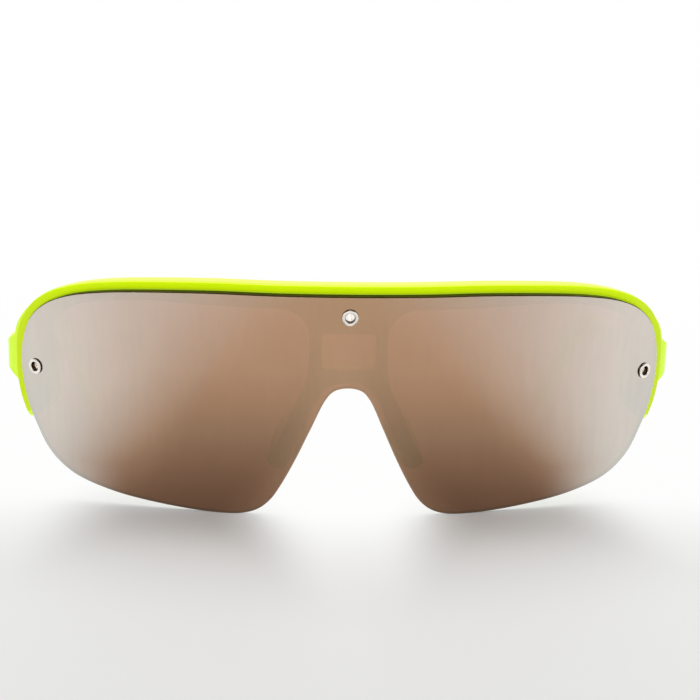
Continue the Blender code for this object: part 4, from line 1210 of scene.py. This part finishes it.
def knuckle_gap(way, low, high):
    """The space that the other leaf's barrel turns in, from height low to high on the pivot."""
    reach = BARREL_RADIUS + OVERRUN
    across = PIN_INSET + LEAF_THICKNESS + OVERRUN
    front, back = (-LEAF_SETBACK, reach) if way < 0 else (-reach, LEAF_SETBACK)
    return box(PIVOT + Vector((-reach, front, low)), PIVOT + Vector((across, back, high)))


def leaf(way):
    solid = flat_solid(leaf_plan(way), -STACK_HALF, STACK_HALF)
    for vert in solid.verts:
        vert.co = PIVOT + Vector((vert.co.x, vert.co.z, -vert.co.y))
    knuckle = BARREL_HEIGHT / 2
    over = STACK_HALF + OVERRUN
    if way < 0:
        tools = [knuckle_gap(way, -knuckle - BARREL_GAP, knuckle + BARREL_GAP)]
    else:
        tools = [knuckle_gap(way, knuckle, over), knuckle_gap(way, -over, -knuckle)]
    tools += fixing_holes(way, PLATE_FACE - OVERRUN, PLATE_FACE + LEAF_THICKNESS + OVERRUN)
    return carve(solid, tools)


def soften(made, width):
    """Break the sharp edges of a machined piece."""
    bevel = made.modifiers.new("broken_edges", "BEVEL")
    bevel.width = width
    bevel.segments = 2
    bevel.limit_method = "ANGLE"
    bevel.angle_limit = math.radians(40)
    made.modifiers.move(len(made.modifiers) - 1, 0)


def screw(radius, length, head_radius, head_height, gap):
    """A slotted screw with a low domed head, its shank down from Z 0 and its head above the gap."""
    top = gap + head_height
    rim = gap + head_height / 2
    profile = [(0, -length), (radius, -length), (radius, gap), (head_radius, gap)]
    crown = head_radius * HEAD_CROWN_share
    profile += quarter((head_radius, rim), (crown, top), (head_radius, top), 4)
    profile += [(0, top)]
    solid = lathe(profile, SCREW_SIDES)
    depth = head_height * SLOT_DEPTH_share
    return carve(solid, [box((-head_radius * 1.2, -SLOT_WIDTH / 2, top - depth),
                             (head_radius * 1.2, SLOT_WIDTH / 2, top + depth))])


STEEL = metal_material("satin_steel", STEEL_TONES, STEEL_STRETCH, 0.26, 0.15, 0.2)
for side_name, side in SIDES:
    temple_body = "temple_" + side_name + "_body"
    for part_name, way, body in (("front", -1, "front"), ("temple", 1, temple_body)):
        node = "hinge_" + part_name + "_leaf_" + side_name
        made = add_piece(node + "_fine", leaf(way), [STEEL], body, node, side=side)
        soften(made, LEAF_EDGE)
        for level_name, spot in fixing_places(way):
            solid = screw(FIXING_RADIUS, FIXING_LENGTH, FIXING_HEAD_RADIUS, FIXING_HEAD_HEIGHT,
                          METAL_GAP)
            seat = spot + Vector((PLATE_FACE, 0, 0))
            turn = Matrix.Rotation(-math.pi / 2, 4, "Y") @ Matrix.Rotation(way + seat.z, 4, "Z")
            solid.transform(Matrix.Translation(seat) @ turn)
            node = part_name + "_leaf_screw_" + side_name + "_" + level_name
            add_piece(node + "_fine", solid, [STEEL], body, node, side=side)
    solid = screw(PIVOT_RADIUS, STACK_HALF * 2, PIVOT_HEAD_RADIUS, PIVOT_HEAD_HEIGHT, METAL_GAP)
    solid.transform(Matrix.Translation(PIVOT + Vector((0, 0, STACK_HALF)))
                    @ Matrix.Rotation(0.5, 4, "Z"))
    add_piece("hinge_screw_fine_" + side_name, solid, [STEEL], "front",
              "hinge_screw_" + side_name, side=side)


# Temples
# The arms, moulded of the same plastic as the frame. Each runs straight back from its hinge, thins
# at the waist, bends down behind the ear and ends in a broader rounded tip that rests on the floor.

TEMPLE_STRAIGHT = 66 * MM
TEMPLE_PITCH = math.radians(2)
EAR_RADIUS = 42 * MM
EAR_BEND = math.radians(40)
TEMPLE_PLAN_RADIUS = 850 * MM
TEMPLE_TIP_HEIGHT = 7.4 * MM
TEMPLE_WAIST_HEIGHT = 6.4 * MM
TEMPLE_THICKNESS = 3.0 * MM
TEMPLE_EDGE = 0.9 * MM
TEMPLE_TIP_ROUND = 4.5 * MM
TIP_SINK_share = 0.28
TIP_STEPS = 10
TEMPLE_STEP = 1.5 * MM
TEMPLE_FLOOR = -STAND.z


def temple_station(along):
    """Place back and up on the temple's middle line at a length along it, and its pitch down."""
    run = min(along, TEMPLE_STRAIGHT)
    turned = min(max((along - TEMPLE_STRAIGHT) / EAR_RADIUS, 0), EAR_BEND)
    rest = max(along - TEMPLE_STRAIGHT - EAR_RADIUS * EAR_BEND, 0)
    pitch = TEMPLE_PITCH + turned
    back = BUTT_FACE + BUTT_GAP + run + rest * math.cos(pitch)
    back += EAR_RADIUS * (math.sin(pitch) - math.sin(TEMPLE_PITCH))
    up = HINGE_HEIGHT - run * math.tan(TEMPLE_PITCH) - rest * math.sin(pitch)
    up -= EAR_RADIUS * (math.cos(TEMPLE_PITCH) - math.cos(pitch))
    return back, up, pitch


def temple_length():
    """How long the temple's middle line runs before its tip rounds off."""
    bend_end = TEMPLE_STRAIGHT + EAR_RADIUS * EAR_BEND
    _, up, pitch = temple_station(bend_end)
    reach = (up - TEMPLE_FLOOR - TEMPLE_TIP_HEIGHT / 2 * math.cos(pitch)) / math.sin(pitch)
    return bend_end + reach - TEMPLE_TIP_ROUND * TIP_SINK_share


TEMPLE_LENGTH = temple_length()


def temple_section(along, size_share=1):
    """One rounded section of the temple, as points on the wearer's left."""
    back, up, pitch = temple_station(along)
    tall = mix(TEMPLE_HEIGHT, TEMPLE_WAIST_HEIGHT, along / TEMPLE_STRAIGHT)
    tall = mix(tall, TEMPLE_TIP_HEIGHT,
               (along - TEMPLE_STRAIGHT) / (TEMPLE_LENGTH - TEMPLE_STRAIGHT))
    thick = mix(FRAME_DEPTH, TEMPLE_THICKNESS, along / TEMPLE_STRAIGHT)
    plane_pitch = pitch * mix(0, 1, along / TEMPLE_HEIGHT)
    middle_x = LUG_OUTER - FRAME_DEPTH / 2 - along * along / (2 * TEMPLE_PLAN_RADIUS)
    yaw = along / TEMPLE_PLAN_RADIUS
    half_tall = tall / 2 * size_share
    half_thick = thick / 2 * size_share
    edge = min(mix(FRAME_RIM, TEMPLE_EDGE, along / TEMPLE_HEIGHT), half_thick * 0.8)
    lean = math.tan(OUTER_LEAN) * mix(1, 0, along / (TEMPLE_STRAIGHT / 2))
    ring = []
    for point in rounded_box(Vector((-half_thick, -half_tall)), Vector((half_thick, half_tall)),
                             edge):
        across = point.x + point.y * lean * (point.x / half_thick + 1) / 2
        ring.append(Vector((middle_x + across * math.cos(yaw),
                            back + across * math.sin(yaw) + point.y * math.sin(plane_pitch),
                            up + point.y * math.cos(plane_pitch))))
    return ring


def temple():
    """Loft along the temple, closed at the joint, rounded at the tip and flat where it stands."""
    count = round(TEMPLE_LENGTH / TEMPLE_STEP)
    rings = [temple_section(TEMPLE_LENGTH * i / count) for i in range(count + 1)]
    for step in range(1, TIP_STEPS):
        turn = math.pi / 2 * step / TIP_STEPS
        rings.append(temple_section(TEMPLE_LENGTH + TEMPLE_TIP_ROUND * math.sin(turn),
                                    math.cos(turn)))
    solid = bmesh.new()
    rings = [[solid.verts.new(point) for point in ring] for ring in rings]
    for near, far in zip(rings, rings[1:]):
        join_rings(solid, near, far)
    solid.faces.new(reversed(rings[0]))
    solid.faces.new(rings[-1])
    turn_outward(solid)
    cut = bmesh.ops.bisect_plane(solid, geom=solid.verts[:] + solid.edges[:] + solid.faces[:],
                                 plane_co=(0, 0, TEMPLE_FLOOR), plane_no=(0, 0, -1),
                                 clear_outer=True)
    rim = [part for part in cut["geom_cut"] if isinstance(part, bmesh.types.BMEdge)]
    bmesh.ops.contextual_create(solid, geom=rim)
    turn_outward(solid)
    return solid


for side_name, side in SIDES:
    solid = carve(temple(), hinge_seat(1))
    add_piece("temple_fine_" + side_name, solid, [NEON], "temple_" + side_name + "_body",
              "temple_" + side_name, side=side)
